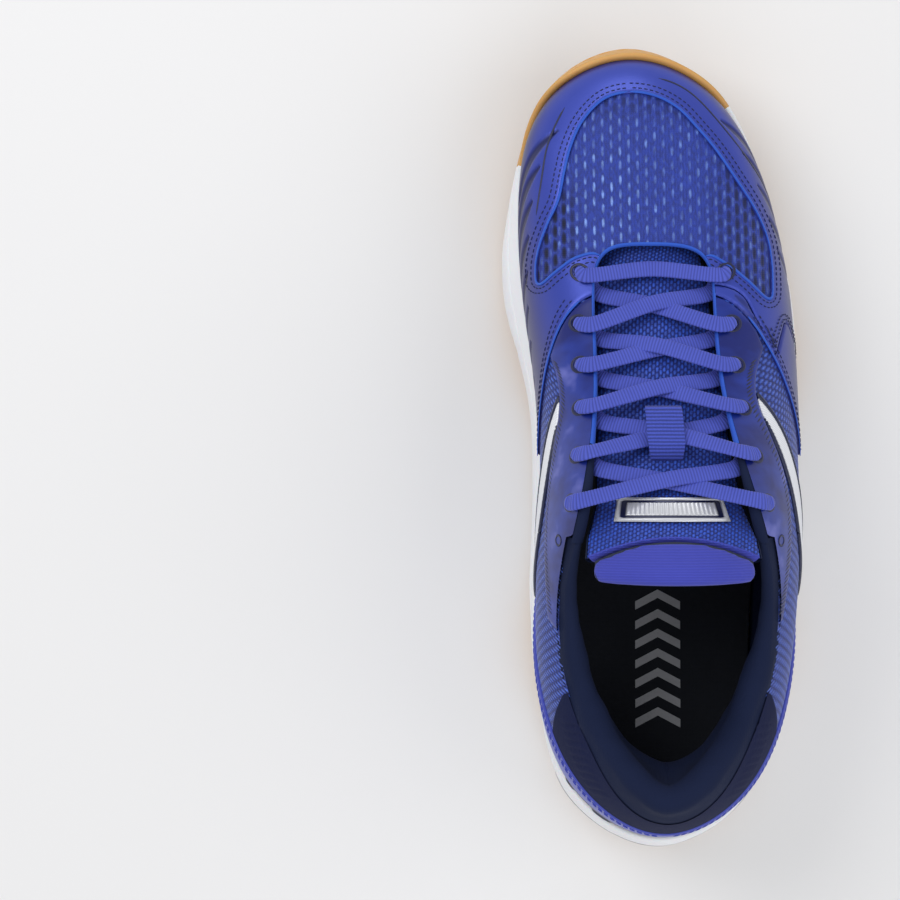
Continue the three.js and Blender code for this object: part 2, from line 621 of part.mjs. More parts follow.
const eyestayOutline = [...EYESTAY_LOW, [84, 100], [110, 128], [150, 140], [226, 120], [226, 72]];
const eyestayRegion = sidePrism(eyestayOutline, -FAR, FAR);
const frontOfSaddle = sidePrism(closeFront(OVERLAY_REAR.map(([y, z]) => [y - GAP * 1.6, z])), -FAR, FAR);
const collarFree = overlays.subtract(frontOfSaddle);
const eyestays = collarFree.intersect(eyestayRegion);
const half = (x0, x1) => sidePrism([[-20, -20], [330, -20], [330, 160], [-20, 160]], x0, x1);
solids.eyestay_lateral = largest(eyestays.intersect(half(2, FAR)));
solids.eyestay_medial = largest(eyestays.intersect(half(-FAR, -2)));

const bladeCore = sidePrism(grown(BLADE, -BLADE_BORDER - GAP / 2), -FAR, FAR);
const bladeHole = sidePrism(grown(BLADE, -BLADE_BORDER + GAP / 2), -FAR, FAR);
const bladeWhole = sidePrism(BLADE, -FAR, FAR);
const bandLow = [[139, 10], [-12, 10]];
const bandRegion = sidePrism([...BAND_TOP, ...bandLow.reverse()], -FAR, FAR);
const keepOff = sidePrism(grown([...BAND_TOP, ...bandLow], GAP), -FAR, FAR)
  .add(sidePrism(grown(eyestayOutline, GAP * 1.5), -FAR, FAR));
[['medial', half(-FAR, -8)], ['lateral', half(8, FAR)]].forEach(([side, region]) => {
  const zone = collarFree.intersect(region);
  solids[`side_blade_${side}`] = largest(zone.intersect(bladeCore).subtract(keepOff));
  solids[`blade_border_${side}`] = largest(zone.intersect(bladeWhole).subtract(bladeHole).subtract(keepOff));
});

const counterRegion = sidePrism([...COUNTER_TOP, [-12, 20]], -FAR, FAR);
const counterWide = sidePrism(grown([...COUNTER_TOP, [-12, 20]], GAP), -FAR, FAR);
solids.heel_band = largest(collarFree.intersect(bandRegion).subtract(counterWide));
solids.counter_panel = largest(overlays.intersect(counterRegion));

const stiffener = (from, to, top) => layer(
  uBetween(from, to), 1 / LATTICE_T, top, MESH_IN - GAP - COUNTER_THICK, MESH_IN - GAP, false);
solids.heel_counter = stiffener(HEEL_RIB - 2, HEEL_RIB + 2, FOAM_FROM_T - 0.03);
solids.toe_puff = stiffener(-2, 2, 0.5);
solids.collar_foam = collarFoam();
solids.collar_lining = collarCloth();
const vampLiningOut = (t) => mix(LINING_OUT, THROAT_LINING_OUT, smooth(0.5, 0.75, t));
const liningGrid = (d) => throatUs.map((u) => tBetween(0.03, 0.995).map((t) => lastAt(u, t, vampLiningOut(t) - d)));
solids.vamp_lining = slab(liningGrid(0), liningGrid(LINING_THICK), false);

// ---------------------------------------------------------------- eyelets
const EYELET_Y = [209.6, 192.4, 178, 162.8, 146, 129.4];
const EYELET_INSET = 6.5;       // from the throat edge to the hole
const SPARE_EYELET_Y = 116;     // the last hole, which the lace leaves free

// u and t of the hole at a distance y from the heel, on the outer side (1) or inner side (-1)
function eyeletAt(y, side) {
  let lo = 2.6;
  let hi = 7;
  const edge = (k) => last(side > 0 ? k : RIB_COUNT - k, 1);
  for (let i = 0; i < 30; i += 1) {
    const k = (lo + hi) / 2;
    if (edge(k).y > y * LENGTH_SCALE) lo = k;
    else hi = k;
  }
  const u = side > 0 ? lo : RIB_COUNT - lo;
  const top = last(u, 1);
  let t = 1;
  while (last(u, t).distanceTo(top) < EYELET_INSET) t -= 0.004;
  return { u, t, point: last(u, t), normal: lastNormal(u, t) };
}

function drill(hole, radius) {
  const geometry = new THREE.CylinderGeometry(radius, radius, 14, 12);
  const turn = new THREE.Quaternion().setFromUnitVectors(new THREE.Vector3(0, 1, 0), hole.normal);
  geometry.applyQuaternion(turn);
  geometry.translate(hole.point.x, hole.point.y, hole.point.z);
  return solidOfGeometry(geometry);
}

const holes = [...EYELET_Y, SPARE_EYELET_Y].map((y) => [eyeletAt(y, -1), eyeletAt(y, 1)]);
holes.flat().forEach((hole) => {
  const cut = drill(hole, EYELET_RADIUS);
  const wideCut = drill(hole, EYELET_RADIUS + LINING_HOLE_EXTRA);
  ['vamp_mesh', 'quarter_mesh_lateral', 'quarter_mesh_medial', 'toe_overlay', 'saddle_lateral',
    'eyestay_lateral', 'eyestay_medial'].forEach((name) => {
    solids[name] = solids[name].subtract(cut);
  });
  ['vamp_lining', 'collar_lining', 'collar_foam'].forEach((name) => {
    solids[name] = solids[name].subtract(wideCut);
  });
});

// ---------------------------------------------------------------- tongue
// Top of the tongue on the centre line: [y, z]. It runs from under the vamp to the cuff.
const TONGUE_PATH = [[226, 69], [214, 74.2], [196, 82.6], [178, 91.6], [160, 100.6], [144, 108.6], [130, 117],
  [118, 127.5], [106, 136.5]];
const TONGUE_HALF_WIDTH = [17, 20, 21.5, 22.5, 23.5, 24.5, 26, 30, 31.5];
const TONGUE_ARCH = 0.0145;     // how fast its sides fall away
const TONGUE_CENTRE = [-3.5, -3.3, -2.6, -1.8, -1, 0, 1, 1.6, 2];
const SEAM_K = 0.875;           // where the padded end is sewn on, in the middle
const SEAM_BOW = 0.075;         // the seam arches: it lies this much further back at the sides

const tongueCurve = new THREE.CatmullRomCurve3(
  TONGUE_PATH.map(([y, z]) => new THREE.Vector3(0, y * LENGTH_SCALE, z)),
  false,
  'catmullrom',
  0.5,
);
function along(table, k) {
  const x = clamp(k, 0, 1) * (table.length - 1);
  const i = Math.min(Math.floor(x), table.length - 2);
  return mix(table[i], table[i + 1], x - i);
}

// point of the tongue: k along it (0 front, 1 at the cuff), v across it (-1 to 1), d below its skin
function tongueAt(k, v, d) {
  const p = tongueCurve.getPoint(k);
  const tangent = tongueCurve.getTangent(k);
  const w = along(TONGUE_HALF_WIDTH, k) * WIDTH_SCALE;
  const x = v * w;
  const slope = 2 * TONGUE_ARCH * x;
  const across = new THREE.Vector3(1, 0, -slope).normalize();
  const normal = new THREE.Vector3().crossVectors(tangent, across).normalize();
  if (normal.z < 0) normal.negate();
  const top = new THREE.Vector3(along(TONGUE_CENTRE, k) * WIDTH_SCALE + x, p.y, p.z - TONGUE_ARCH * x * x);
  return top.addScaledVector(normal, -d);
}

// thickness of the pad: full in the middle, thin at the sides and in front
const tonguePad = (k, v) => (0.45 + 0.55 * (1 - v ** 4)) * mix(1.6, TONGUE_THICK, smooth(0.02, 0.35, k));
const seamK = (v) => SEAM_K + SEAM_BOW * v * v;
const tongueKs = steps(0, 1, 15);
const tongueVs = (shrink) => steps(-1 + shrink, 1 - shrink, 8);
function tongueLayer(top, bottom, shrink) {
  const grid = (depth) => tongueKs.map((share) => tongueVs(shrink).map((v) => {
    const k = share * seamK(v);
    return tongueAt(k, v, depth(k, v));
  }));
  return slab(grid(top), grid(bottom), false);
}
solids.tongue_face = tongueLayer(() => 0, () => TONGUE_SKIN, 0);
solids.tongue_foam = tongueLayer(() => TONGUE_SKIN + GAP, (k, v) => TONGUE_SKIN + GAP + tonguePad(k, v), 0.03);
solids.tongue_back = tongueLayer(
  (k, v) => TONGUE_SKIN + 2 * GAP + tonguePad(k, v),
  (k, v) => 2 * TONGUE_SKIN + 2 * GAP + tonguePad(k, v),
  0,
);

// Padded cuff on the tongue's end: a cloth cap round a foam core, open towards the tongue.
const CUFF_LENGTH = 19;
const CUFF_RISE = 2.8;
function cuffSection(v, inset, from) {
  const k = seamK(v);
  const forward = tongueCurve.getTangent(k);
  const w = 1 - 0.4 * Math.abs(v) ** 3;
  const len = CUFF_LENGTH * (1 - 0.55 * v * v);
  const a = tongueAt(k, v, CUFF_THICK * 0.42).addScaledVector(forward, from);
  const normal = tongueAt(k, v, 0).sub(tongueAt(k, v, 1)).normalize();
  const half1 = CUFF_THICK * 0.5 * w - inset;
  const reach = len - from - CUFF_THICK * 0.5 * w;
  const bend = (s) => a.clone()
    .addScaledVector(forward, s)
    .addScaledVector(normal, CUFF_RISE * (s / CUFF_LENGTH) ** 2);
  const upper1 = steps(0, reach, 3).map((s) => bend(s).addScaledVector(normal, half1));
  const round1 = steps(0, Math.PI, 6).slice(1, -1).map((q) => bend(reach)
    .addScaledVector(normal, half1 * Math.cos(q))
    .addScaledVector(forward, half1 * Math.sin(q)));
  const lower1 = steps(reach, 0, 3).map((s) => bend(s).addScaledVector(normal, -half1));
  return [...upper1, ...round1, ...lower1];
}
const CUFF_START = 1.0;         // seam between tongue and cuff, open for the fold
const cuffVs = steps(-0.97, 0.97, 12);
const cuffGrid = (inset, from) => cuffVs.map((v) => cuffSection(v, inset, from));
solids.tongue_cuff = slab(cuffGrid(0, CUFF_START), cuffGrid(TONGUE_SKIN, CUFF_START), false);
const coreSection = (v) => {
  const ring = cuffSection(v, TONGUE_SKIN + GAP, CUFF_START + GAP);
  const n = ring.length;
  const mid = Math.floor(n / 2);
  return { top: ring.slice(0, mid), low: ring.slice(n - mid).reverse() };
};
const coreVs = steps(-0.94, 0.94, 12);
solids.tongue_cuff_foam = slab(coreVs.map((v) => coreSection(v).top), coreVs.map((v) => coreSection(v).low), false);

// badge on the tongue and the loop that holds the lace
const BADGE = { k0: 0.735, k1: 0.82, v: 0.72, thick: 1.0 };
const LOOP = { k0: 0.4725, k1: 0.617, halfWidth: 5.5, thick: 1, height: 6.9 };
const raised = (k0, k1, v0, v1, low, high) => {
  const ks = steps(k0, k1, 4);
  const vs = steps(v0, v1, 8);
  const grid = (d) => ks.map((k) => vs.map((v) => tongueAt(k, v, -d)));
  return slab(grid(high), grid(low), false);
};
solids.tongue_badge = raised(BADGE.k0, BADGE.k1, -BADGE.v, BADGE.v, GAP, GAP + BADGE.thick);

const loopHeight = (s) => GAP + (LOOP.height - GAP) * (1 - Math.abs(2 * s - 1) ** 6);
const loopGrid = (d) => steps(0, 1, 14).map((s) => [-1, 0, 1].map((side) => {
  const k = mix(LOOP.k0, LOOP.k1, s);
  const v = (side * LOOP.halfWidth) / (along(TONGUE_HALF_WIDTH, k) * WIDTH_SCALE);
  return tongueAt(k, v, -loopHeight(s) - d);
}));
solids.tongue_lace_loop = slab(loopGrid(LOOP.thick), loopGrid(0), false);

// ---------------------------------------------------------------- lace
// One lace: a straight bar over the first pair of holes, then both halves cross over the
// tongue from hole to hole and end tucked in beside it.
const OVER = OVER_OUT + GAP + LACE_THICK / 2 + 0.25;
const UNDER = -(MESH_THICK + LINING_THICK + 2 * GAP + LACE_THICK / 2 + 0.8);
const CROSS_LOW = GAP + LACE_THICK / 2 + 0.8;
const CROSS_HIGH = CROSS_LOW + LACE_THICK + 0.5;
const LEAD = 0.3;               // how far towards the next row the lace leaves the edge
const LACE_STEP = 5;

function tongueK(y) {
  let lo = 0;
  let hi = 1;
  for (let i = 0; i < 24; i += 1) {
    const k = (lo + hi) / 2;
    if (tongueAt(k, 0, 0).y > y) lo = k;
    else hi = k;
  }
  return lo;
}

const holeAt = (row, side) => holes[row][side > 0 ? 1 : 0];
const outwardAt = (hole) => last(hole.u, hole.t - 0.05).sub(last(hole.u, hole.t + 0.05)).normalize();
const knot = (p, up, w, h) => ({ p, up, w, h });
const nearEdge = (row, side, lead, d) => {
  const from = holeAt(row, side);
  const to = holeAt(Math.min(row + 1, EYELET_Y.length - 1), side);
  const u = mix(from.u, to.u, lead);
  return { p: lastAt(u, 1, d), n: lastNormal(u, 1) };
};

// knots through a hole: the flat lace folds up in it; sign is the lace's face that looks up
function throughHole(hole, sign) {
  const out = outwardAt(hole);
  const at = (d, along1) => hole.point.clone().addScaledVector(hole.normal, d).addScaledVector(out, along1);
  return [
    knot(at(OVER, -2.6), hole.normal.clone().multiplyScalar(sign), 6.4, LACE_THICK),
    knot(at(OVER - 0.3, -0.2), hole.normal.clone().add(out).multiplyScalar(sign), 4.4, 2.4),
    knot(at(-0.4, 0.2), out.clone().multiplyScalar(sign), LACE_HOLE_WIDTH, LACE_HOLE_THICK),
    knot(at(UNDER - 0.5, -0.4), out.clone().sub(hole.normal).multiplyScalar(sign), 4.4, 2.4),
    knot(at(UNDER, -3), hole.normal.clone().multiplyScalar(-sign), 6.4, LACE_THICK),
  ];
}

function halfLace(firstSide) {
  const knots = throughHole(holeAt(0, firstSide), 1);
  let side = firstSide;
  let sign = 1;
  for (let row = 0; row < EYELET_Y.length - 1; row += 1) {
    const leave = nearEdge(row, side, LEAD, UNDER);
    const arrive = nearEdge(row, -side, 1 - LEAD * 0.5, OVER);
    const midY = (leave.p.y + arrive.p.y) / 2;
    const k = tongueK(midY);
    const high = (row % 2 === 0) === (side > 0);
    const d = high ? CROSS_HIGH : CROSS_LOW;
    const n = tongueAt(k, 0, -1).sub(tongueAt(k, 0, 0));
    sign = -sign;
    knots.push(knot(leave.p, leave.n.multiplyScalar(sign), LACE_WIDTH, LACE_THICK));
    knots.push(knot(tongueAt(k, 0, -d), n.multiplyScalar(sign), LACE_WIDTH, LACE_THICK));
    knots.push(knot(arrive.p, arrive.n.multiplyScalar(sign), LACE_WIDTH, LACE_THICK));
    side = -side;
    knots.push(...throughHole(holeAt(row + 1, side), sign));
  }
  const end = holeAt(EYELET_Y.length - 1, side);
  knots.pop();
  const tail = (t, d) => knot(lastAt(end.u + side * 0.05, t, d), lastNormal(end.u, t).multiplyScalar(sign), 5.5, LACE_THICK);
  knots.push(tail(0.82, UNDER - 1.2), tail(0.72, UNDER - 1.4));
  return knots;
}

function laceSolid() {
  const left = halfLace(-1).reverse();
  const right = halfLace(1);
  left.forEach((k) => k.up.multiplyScalar(1));
  const k0 = tongueK(holeAt(0, 1).point.y);
  const n0 = tongueAt(k0, 0, -1).sub(tongueAt(k0, 0, 0));
  const bar = knot(tongueAt(k0, 0, -3.2), n0, LACE_WIDTH, LACE_THICK);
  const knots = [...left, bar, ...right];
  const curve = new THREE.CatmullRomCurve3(knots.map((k) => k.p), false, 'centripetal');
  const tops = [];
  const lows = [];
  knots.slice(0, -1).forEach((knotA, i) => {
    const knotB = knots[i + 1];
    const parts = Math.max(1, Math.round(knotA.p.distanceTo(knotB.p) / LACE_STEP));
    steps(0, 1, parts).slice(i === 0 ? 0 : 1).forEach((f) => {
      const q = (i + f) / (knots.length - 1);
      const p = curve.getPoint(q);
      const tangent = curve.getTangent(q);
      const up = knotA.up.clone().normalize().lerp(knotB.up.clone().normalize(), f);
      up.addScaledVector(tangent, -up.dot(tangent)).normalize();
      const across = new THREE.Vector3().crossVectors(tangent, up);
      const w = mix(knotA.w, knotB.w, f) / 2;
      const h = mix(knotA.h, knotB.h, f) / 2;
      const corner = (sx, sy) => p.clone().addScaledVector(across, sx * w).addScaledVector(up, sy * h);
      tops.push([corner(-1, 1), corner(1, 1)]);
      lows.push([corner(-1, -1), corner(1, -1)]);
    });
  });
  return slab(tops, lows, false);
}
solids.lace = laceSolid();

// ---------------------------------------------------------------- scene
// [colour, roughness, metalness]
const NAVY = [0x17233d, 0.75, 0];
const MESH_BLUE = [0x2c4fae, 0.85, 0];
const FILM_BLUE = [0x4757b5, 0.5, 0];
const CARD = [0xd8d4c8, 0.7, 0];
const COLOURS = {
  outsole: [0xc98a3a, 0.6, 0],
  midsole: [0xf2f2f4, 0.6, 0],
  heel_strip: [0xb8babd, 0.35, 0.6],
  lasting_board: CARD,
  sockliner_foam: [0x2a2c30, 0.9, 0],
  sockliner_cover: [0x14161a, 0.9, 0],
  vamp_mesh: MESH_BLUE,
  quarter_mesh_lateral: MESH_BLUE,
  quarter_mesh_medial: MESH_BLUE,
  rear_quarter: NAVY,
  toe_overlay: FILM_BLUE,
  saddle_lateral: FILM_BLUE,
  eyestay_lateral: [0x3a5cc0, 0.3, 0],
  eyestay_medial: [0x3a5cc0, 0.3, 0],
  side_blade_lateral: [0xe8eaee, 0.4, 0],
  side_blade_medial: [0xe8eaee, 0.4, 0],
  blade_border_lateral: NAVY,
  blade_border_medial: NAVY,
  heel_band: FILM_BLUE,
  counter_panel: NAVY,
  heel_counter: CARD,
  toe_puff: CARD,
  collar_foam: [0xe6dfa8, 0.95, 0],
  collar_lining: NAVY,
  vamp_lining: NAVY,
  tongue_face: MESH_BLUE,
  tongue_foam: [0xe6dfa8, 0.95, 0],
  tongue_back: NAVY,
  tongue_cuff: FILM_BLUE,
  tongue_cuff_foam: [0xe6dfa8, 0.95, 0],
  tongue_badge: [0xc9ccd2, 0.4, 0.3],
  tongue_lace_loop: FILM_BLUE,
  lace: [0x5a6cd0, 0.8, 0],
};

const group = new THREE.Group();
Object.entries(solids).forEach(([name, solid]) => {
  const [color, roughness, metalness] = COLOURS[name];
  const material = new THREE.MeshStandardMaterial({ color, roughness, metalness });
  const mesh = new THREE.Mesh(geometryOf(solid), material);
  mesh.name = name;
  group.add(mesh);
});

// the origin is on the ground under the middle of the shoe
const box = new THREE.Box3().setFromObject(group);
const middle = box.getCenter(new THREE.Vector3());
group.position.set(-middle.x, -middle.y, -box.min.z);

export default group;
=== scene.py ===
import math

import bpy
import numpy as np
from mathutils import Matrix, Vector


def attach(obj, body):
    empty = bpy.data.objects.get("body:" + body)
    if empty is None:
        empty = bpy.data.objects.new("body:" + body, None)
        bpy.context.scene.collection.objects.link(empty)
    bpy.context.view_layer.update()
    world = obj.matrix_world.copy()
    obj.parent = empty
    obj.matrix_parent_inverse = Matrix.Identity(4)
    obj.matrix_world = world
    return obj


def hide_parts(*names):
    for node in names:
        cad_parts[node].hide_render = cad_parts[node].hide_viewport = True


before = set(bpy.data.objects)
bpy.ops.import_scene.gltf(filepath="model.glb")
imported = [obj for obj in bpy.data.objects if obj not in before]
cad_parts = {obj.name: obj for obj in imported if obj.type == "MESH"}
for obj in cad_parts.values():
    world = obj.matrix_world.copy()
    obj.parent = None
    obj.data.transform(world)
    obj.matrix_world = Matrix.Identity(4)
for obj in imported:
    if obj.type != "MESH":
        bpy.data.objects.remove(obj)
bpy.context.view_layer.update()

# ------------------------------------------------------------------ sizes, in mm
# The work frame has the heel at y = 0 and the toe at +Y; SHIFT takes it to the frame's origin.
SHIFT = np.array([0.578, -149.789, 0.0])
MM = 0.001
RIB_COUNT = 20
HEEL = 10                # rib at the heel; rib 0 is at the toe
COLLAR_U = 6.35          # rib number where the padded collar begins, on the outer side
GAP = 0.3                # clear space between neighbouring layers
OVER_OUT = 1.0           # height of the overlays above the last
EDGE_SHARE = 0.45        # share of its height that a panel keeps at its very edge
SOLE_LIP = 1.9           # how far the sole's rim stands out beyond the overlays
COLLAR_ROLL = 5.4        # radius of the padded edge at the heel
EDGE_ROLL = 1.0          # radius of the thin edge at the front
HEEL_PAD = 10.0          # swelling of the padding inside the heel
BALL_Y = 198.0           # the tread rises towards the toe from here
HEEL_BEVEL_Y = 31.0      # and towards the heel from here

# foot, low, high and top handle of each rib of the last
RIBS = np.array([
    [[-9, 290, 33], [-9, 314, 57], [-7, 272, 63], [-4.5, 224, 75]],
    [[10, 284, 32], [21, 302, 54], [12, 266, 64], [6, 224, 75]],
    [[25, 267, 27], [41, 281, 47], [28, 254, 66], [15, 222, 74]],
    [[35, 240, 20.5], [53, 247, 40], [40, 236, 67], [19.5, 214, 76]],
    [[42.5, 206, 17.5], [61, 208, 38], [47, 205, 72], [19, 195, 84]],
    [[43.5, 168, 19.5], [61, 168, 44], [50, 168, 80], [21, 164, 98]],
    [[41, 130, 23.5], [59, 130, 52], [55, 133, 94], [31, 129, 125]],
    [[38, 92, 26.5], [57, 92, 55], [53, 98, 80], [41, 97, 101]],
    [[37, 56, 28], [56, 56, 52], [48, 60, 76], [38, 61, 87]],
    [[29, 24, 29], [44, 16, 50], [37, 24, 86], [23, 33, 109]],
    [[1, 8, 29], [1, -8, 50], [1, 2, 92], [0, 13, 118]],
    [[-27, 24, 29], [-40, 16, 50], [-34, 24, 86], [-20, 33, 109]],
    [[-34, 56, 28], [-52, 56, 52], [-45, 60, 76], [-35, 61, 87]],
    [[-32, 92, 26.5], [-51, 92, 55], [-48, 98, 80], [-38, 97, 101]],
    [[-32, 130, 23.5], [-49, 130, 52], [-48, 133, 94], [-30, 129, 125]],
    [[-34, 168, 20], [-49, 168, 46], [-45, 168, 80], [-24, 164, 98]],
    [[-40, 206, 17.5], [-58, 208, 38], [-50, 205, 70], [-25, 195, 84]],
    [[-43, 240, 20.5], [-60, 247, 40], [-49, 236, 65], [-25, 214, 76]],
    [[-40, 268, 27], [-59, 281, 47], [-42, 254, 63], [-21, 222, 74]],
    [[-27, 285, 32], [-40, 303, 54], [-26, 266, 62], [-14, 224, 75]],
], float)
SOLE_OUTLINE = np.array([
    [-10, 300], [13, 291.5], [30, 272], [43, 245], [53.5, 208], [55, 170], [52.5, 130], [51, 92],
    [46.5, 54], [34, 17], [1, 0], [-31, 17], [-42.5, 54], [-46, 92], [-45, 130], [-46.5, 168],
    [-56, 208], [-54.5, 240], [-46, 272], [-32, 292]], float)
RIM_Z = np.array([48, 46, 36, 29, 27.4, 29.4, 32.6, 42.2, 39.8, 44.6, 53.5])
GUM_EDGE = np.array([
    [0, 15], [7.5, 12], [19, 8.2], [31, 6.2], [43, 6], [55, 8.6], [67, 10.6], [76, 12.8], [85, 9.6],
    [97, 5.6], [115, 3.4], [151, 4], [163, 5.8], [175, 10], [187, 12.4], [199, 9.6], [214, 8.2],
    [223, 10.5], [235, 14.6], [247, 17], [259, 23.6], [271, 35], [278, 41.5]], float)
GUM_TOE_Y = {"inner": 257.0, "outer": 279.0}


# ------------------------------------------------------------------ small helpers
def mix(a, b, k):
    return a + (b - a) * k


def smooth(lo, hi, v):
    k = np.clip((v - lo) / (hi - lo), 0, 1)
    return k * k * (3 - 2 * k)


def unit(v):
    return v / np.maximum(np.linalg.norm(v, axis=-1, keepdims=True), 1e-9)


def from_heel(u):
    """How many ribs a place is away from the heel, on either side."""
    return np.abs(np.mod(u, RIB_COUNT) - HEEL)


def noise(p, scale, seed=0):
    """Smooth repeatable noise from a few sine waves, about -1 to 1."""
    rng = np.random.default_rng(seed)
    total = np.zeros(np.shape(p)[:-1])
    for _ in range(7):
        k = unit(rng.normal(size=3)) * rng.uniform(0.6, 1.5) * 2 * np.pi / scale
        total += np.sin(p @ k + rng.uniform(0, 6.28))
    return total / 3.2


def catmull(a, b, c, d, f):
    """Catmull-Rom curve at share f of the piece from b to c."""
    return b + 0.5 * f * (c - a + f * (2 * a - 5 * b + 4 * c - d + f * (3 * (b - c) + d - a)))


def along_side(table, u):
    """A value given rib by rib from the toe to the heel, the same on both sides."""
    k = np.clip(HEEL - from_heel(u), 0, HEEL)
    i = np.minimum(np.floor(k), HEEL - 1).astype(int)
    at = lambda j: table[np.where(j < 0, -j, np.where(j > HEEL, 2 * HEEL - j, j))]
    return catmull(at(i - 1), at(i), at(i + 1), at(i + 2), k - i)


def last(u, t):
    """Point of the last: u runs round the ribs, t up a rib from its foot, 0, to its top, 1."""
    u, t = np.broadcast_arrays(np.asarray(u, float), np.asarray(t, float))
    i = np.floor(u).astype(int)
    f = u - i
    b = [(1 - f) ** 3, 3 * f ** 3 - 6 * f ** 2 + 4, -3 * f ** 3 + 3 * f ** 2 + 3 * f + 1, f ** 3]
    c = [(1 - t) ** 3, 3 * t * (1 - t) ** 2, 3 * t * t * (1 - t), t ** 3]
    ribs = RIBS[np.stack([(i - 1 + j) % RIB_COUNT for j in range(4)], -1)]
    return np.einsum("...j,...jkx,...k->...x", np.stack(b, -1) / 6, ribs, np.stack(c, -1))


def last_normal(u, t):
    e = 0.01
    du = last(u + e, t) - last(u - e, t)
    dt = last(u, np.minimum(t + e, 1)) - last(u, np.maximum(t - e, 0))
    return unit(np.cross(dt, du))


def last_at(u, t, d):
    """Point at distance d outside the last."""
    return last(u, t) + last_normal(u, t) * np.asarray(d, float)[..., None]


def seam_t(u):
    """Where on a rib the collar's padding meets the quarter."""
    return mix(0.955, 0.86, smooth(1.6, 0.2, from_heel(u)))


def top_t(u):
    """Where on a rib the panels end: at its top in front, at the collar's seam behind."""
    return mix(1, seam_t(u), smooth(HEEL - COLLAR_U + 0.02, HEEL - COLLAR_U, from_heel(u)))


def spline(points, count, closed=False):
    """Catmull-Rom curve through 2-D or 3-D points, count pieces in all."""
    p = np.asarray(points, float)
    n = len(p)
    q = np.linspace(0, n if closed else n - 1, count + 1)
    if closed:
        q = q[:-1]
    i = np.minimum(np.floor(q).astype(int), n - 1 if closed else n - 2)
    f = (q - i)[:, None]
    pick = (lambda j: p[j % n]) if closed else (lambda j: p[np.clip(j, 0, n - 1)])
    return catmull(pick(i - 1), pick(i), pick(i + 1), pick(i + 2), f)


def resample(line, pitch):
    """The same line with points at an even pitch."""
    line = np.asarray(line, float)
    s = np.r_[0, np.cumsum(np.linalg.norm(np.diff(line, axis=0), axis=1))]
    at = np.linspace(0, s[-1], max(2, int(round(s[-1] / pitch)) + 1))
    return np.stack([np.interp(at, s, line[:, k]) for k in range(line.shape[1])], -1)


def sdf(points, outline):
    """Distance of 2-D points from a closed outline, positive inside."""
    a = np.asarray(outline, float)
    b = np.roll(a, -1, axis=0)
    px, py = points[..., 0], points[..., 1]
    best = np.full(px.shape, 1e9)
    inside = np.zeros(px.shape, bool)
    for (ax, ay), (bx, by) in zip(a, b):
        ex, ey = bx - ax, by - ay
        k = np.clip(((px - ax) * ex + (py - ay) * ey) / max(ex * ex + ey * ey, 1e-12), 0, 1)
        best = np.minimum(best, (px - ax - k * ex) ** 2 + (py - ay - k * ey) ** 2)
        cross = (ay > py) != (by > py)
        if ay != by:
            inside ^= cross & (px < ax + (py - ay) * ex / ey)
    return np.where(inside, 1, -1) * np.sqrt(best)


def offset_line(line, d):
    """An open 2-D line moved to its left by d."""
    t = unit(np.gradient(line, axis=0))
    return line + np.stack([-t[:, 1], t[:, 0]], -1) * d


# ------------------------------------------------------------------ meshes
def mesh_object(name, verts, faces, material, attrs=None):
    """Object from points in the work frame and a list of face arrays (n x 3 or n x 4)."""
    verts = (np.asarray(verts, float) + SHIFT) * MM
    faces = [np.asarray(f, np.int64) for f in faces if len(f)]
    mesh = bpy.data.meshes.new(name)
    mesh.vertices.add(len(verts))
    mesh.vertices.foreach_set("co", verts.astype(np.float32).ravel())
    loops = np.concatenate([f.ravel() for f in faces])
    totals = np.concatenate([np.full(len(f), f.shape[1]) for f in faces])
    mesh.loops.add(len(loops))
    mesh.loops.foreach_set("vertex_index", loops.astype(np.int32))
    mesh.polygons.add(len(totals))
    mesh.polygons.foreach_set("loop_start", np.r_[0, np.cumsum(totals)[:-1]].astype(np.int32))
    mesh.polygons.foreach_set("loop_total", totals.astype(np.int32))
    for key, values in (attrs or {}).items():
        made = mesh.attributes.new(key, "FLOAT", "POINT")
        made.data.foreach_set("value", np.asarray(values, np.float32).ravel())
    mesh.update(calc_edges=True)
    mesh.validate()
    mesh.polygons.foreach_set("use_smooth", np.ones(len(mesh.polygons), bool))
    mesh.materials.append(material)
    obj = bpy.data.objects.new(name, mesh)
    bpy.context.scene.collection.objects.link(obj)
    return obj


def grid_faces(rows, cols, closed_rows=False, closed_cols=False, flip=False):
    i = np.arange(rows if closed_rows else rows - 1)
    j = np.arange(cols if closed_cols else cols - 1)
    i, j = [g.ravel() for g in np.meshgrid(i, j, indexing="ij")]
    i1, j1 = (i + 1) % rows, (j + 1) % cols
    quads = np.stack([i * cols + j, i * cols + j1, i1 * cols + j1, i1 * cols + j], -1)
    return quads[:, ::-1] if flip else quads


def grid_object(name, points, material, flip=False, closed_rows=False, closed_cols=False, attrs=None):
    rows, cols = points.shape[:2]
    faces = grid_faces(rows, cols, closed_rows, closed_cols, flip)
    attrs = {key: values.reshape(-1) for key, values in (attrs or {}).items()}
    return mesh_object(name, points.reshape(-1, 3), [faces], material, attrs)


def joined(parts):
    """The points and faces of many small (points, faces) parts, as those of one mesh."""
    starts = np.cumsum([0] + [len(points) for points, _ in parts])
    faces = [part_faces + start for (_, part_faces), start in zip(parts, starts)]
    return np.concatenate([points for points, _ in parts]), [np.concatenate(faces)]


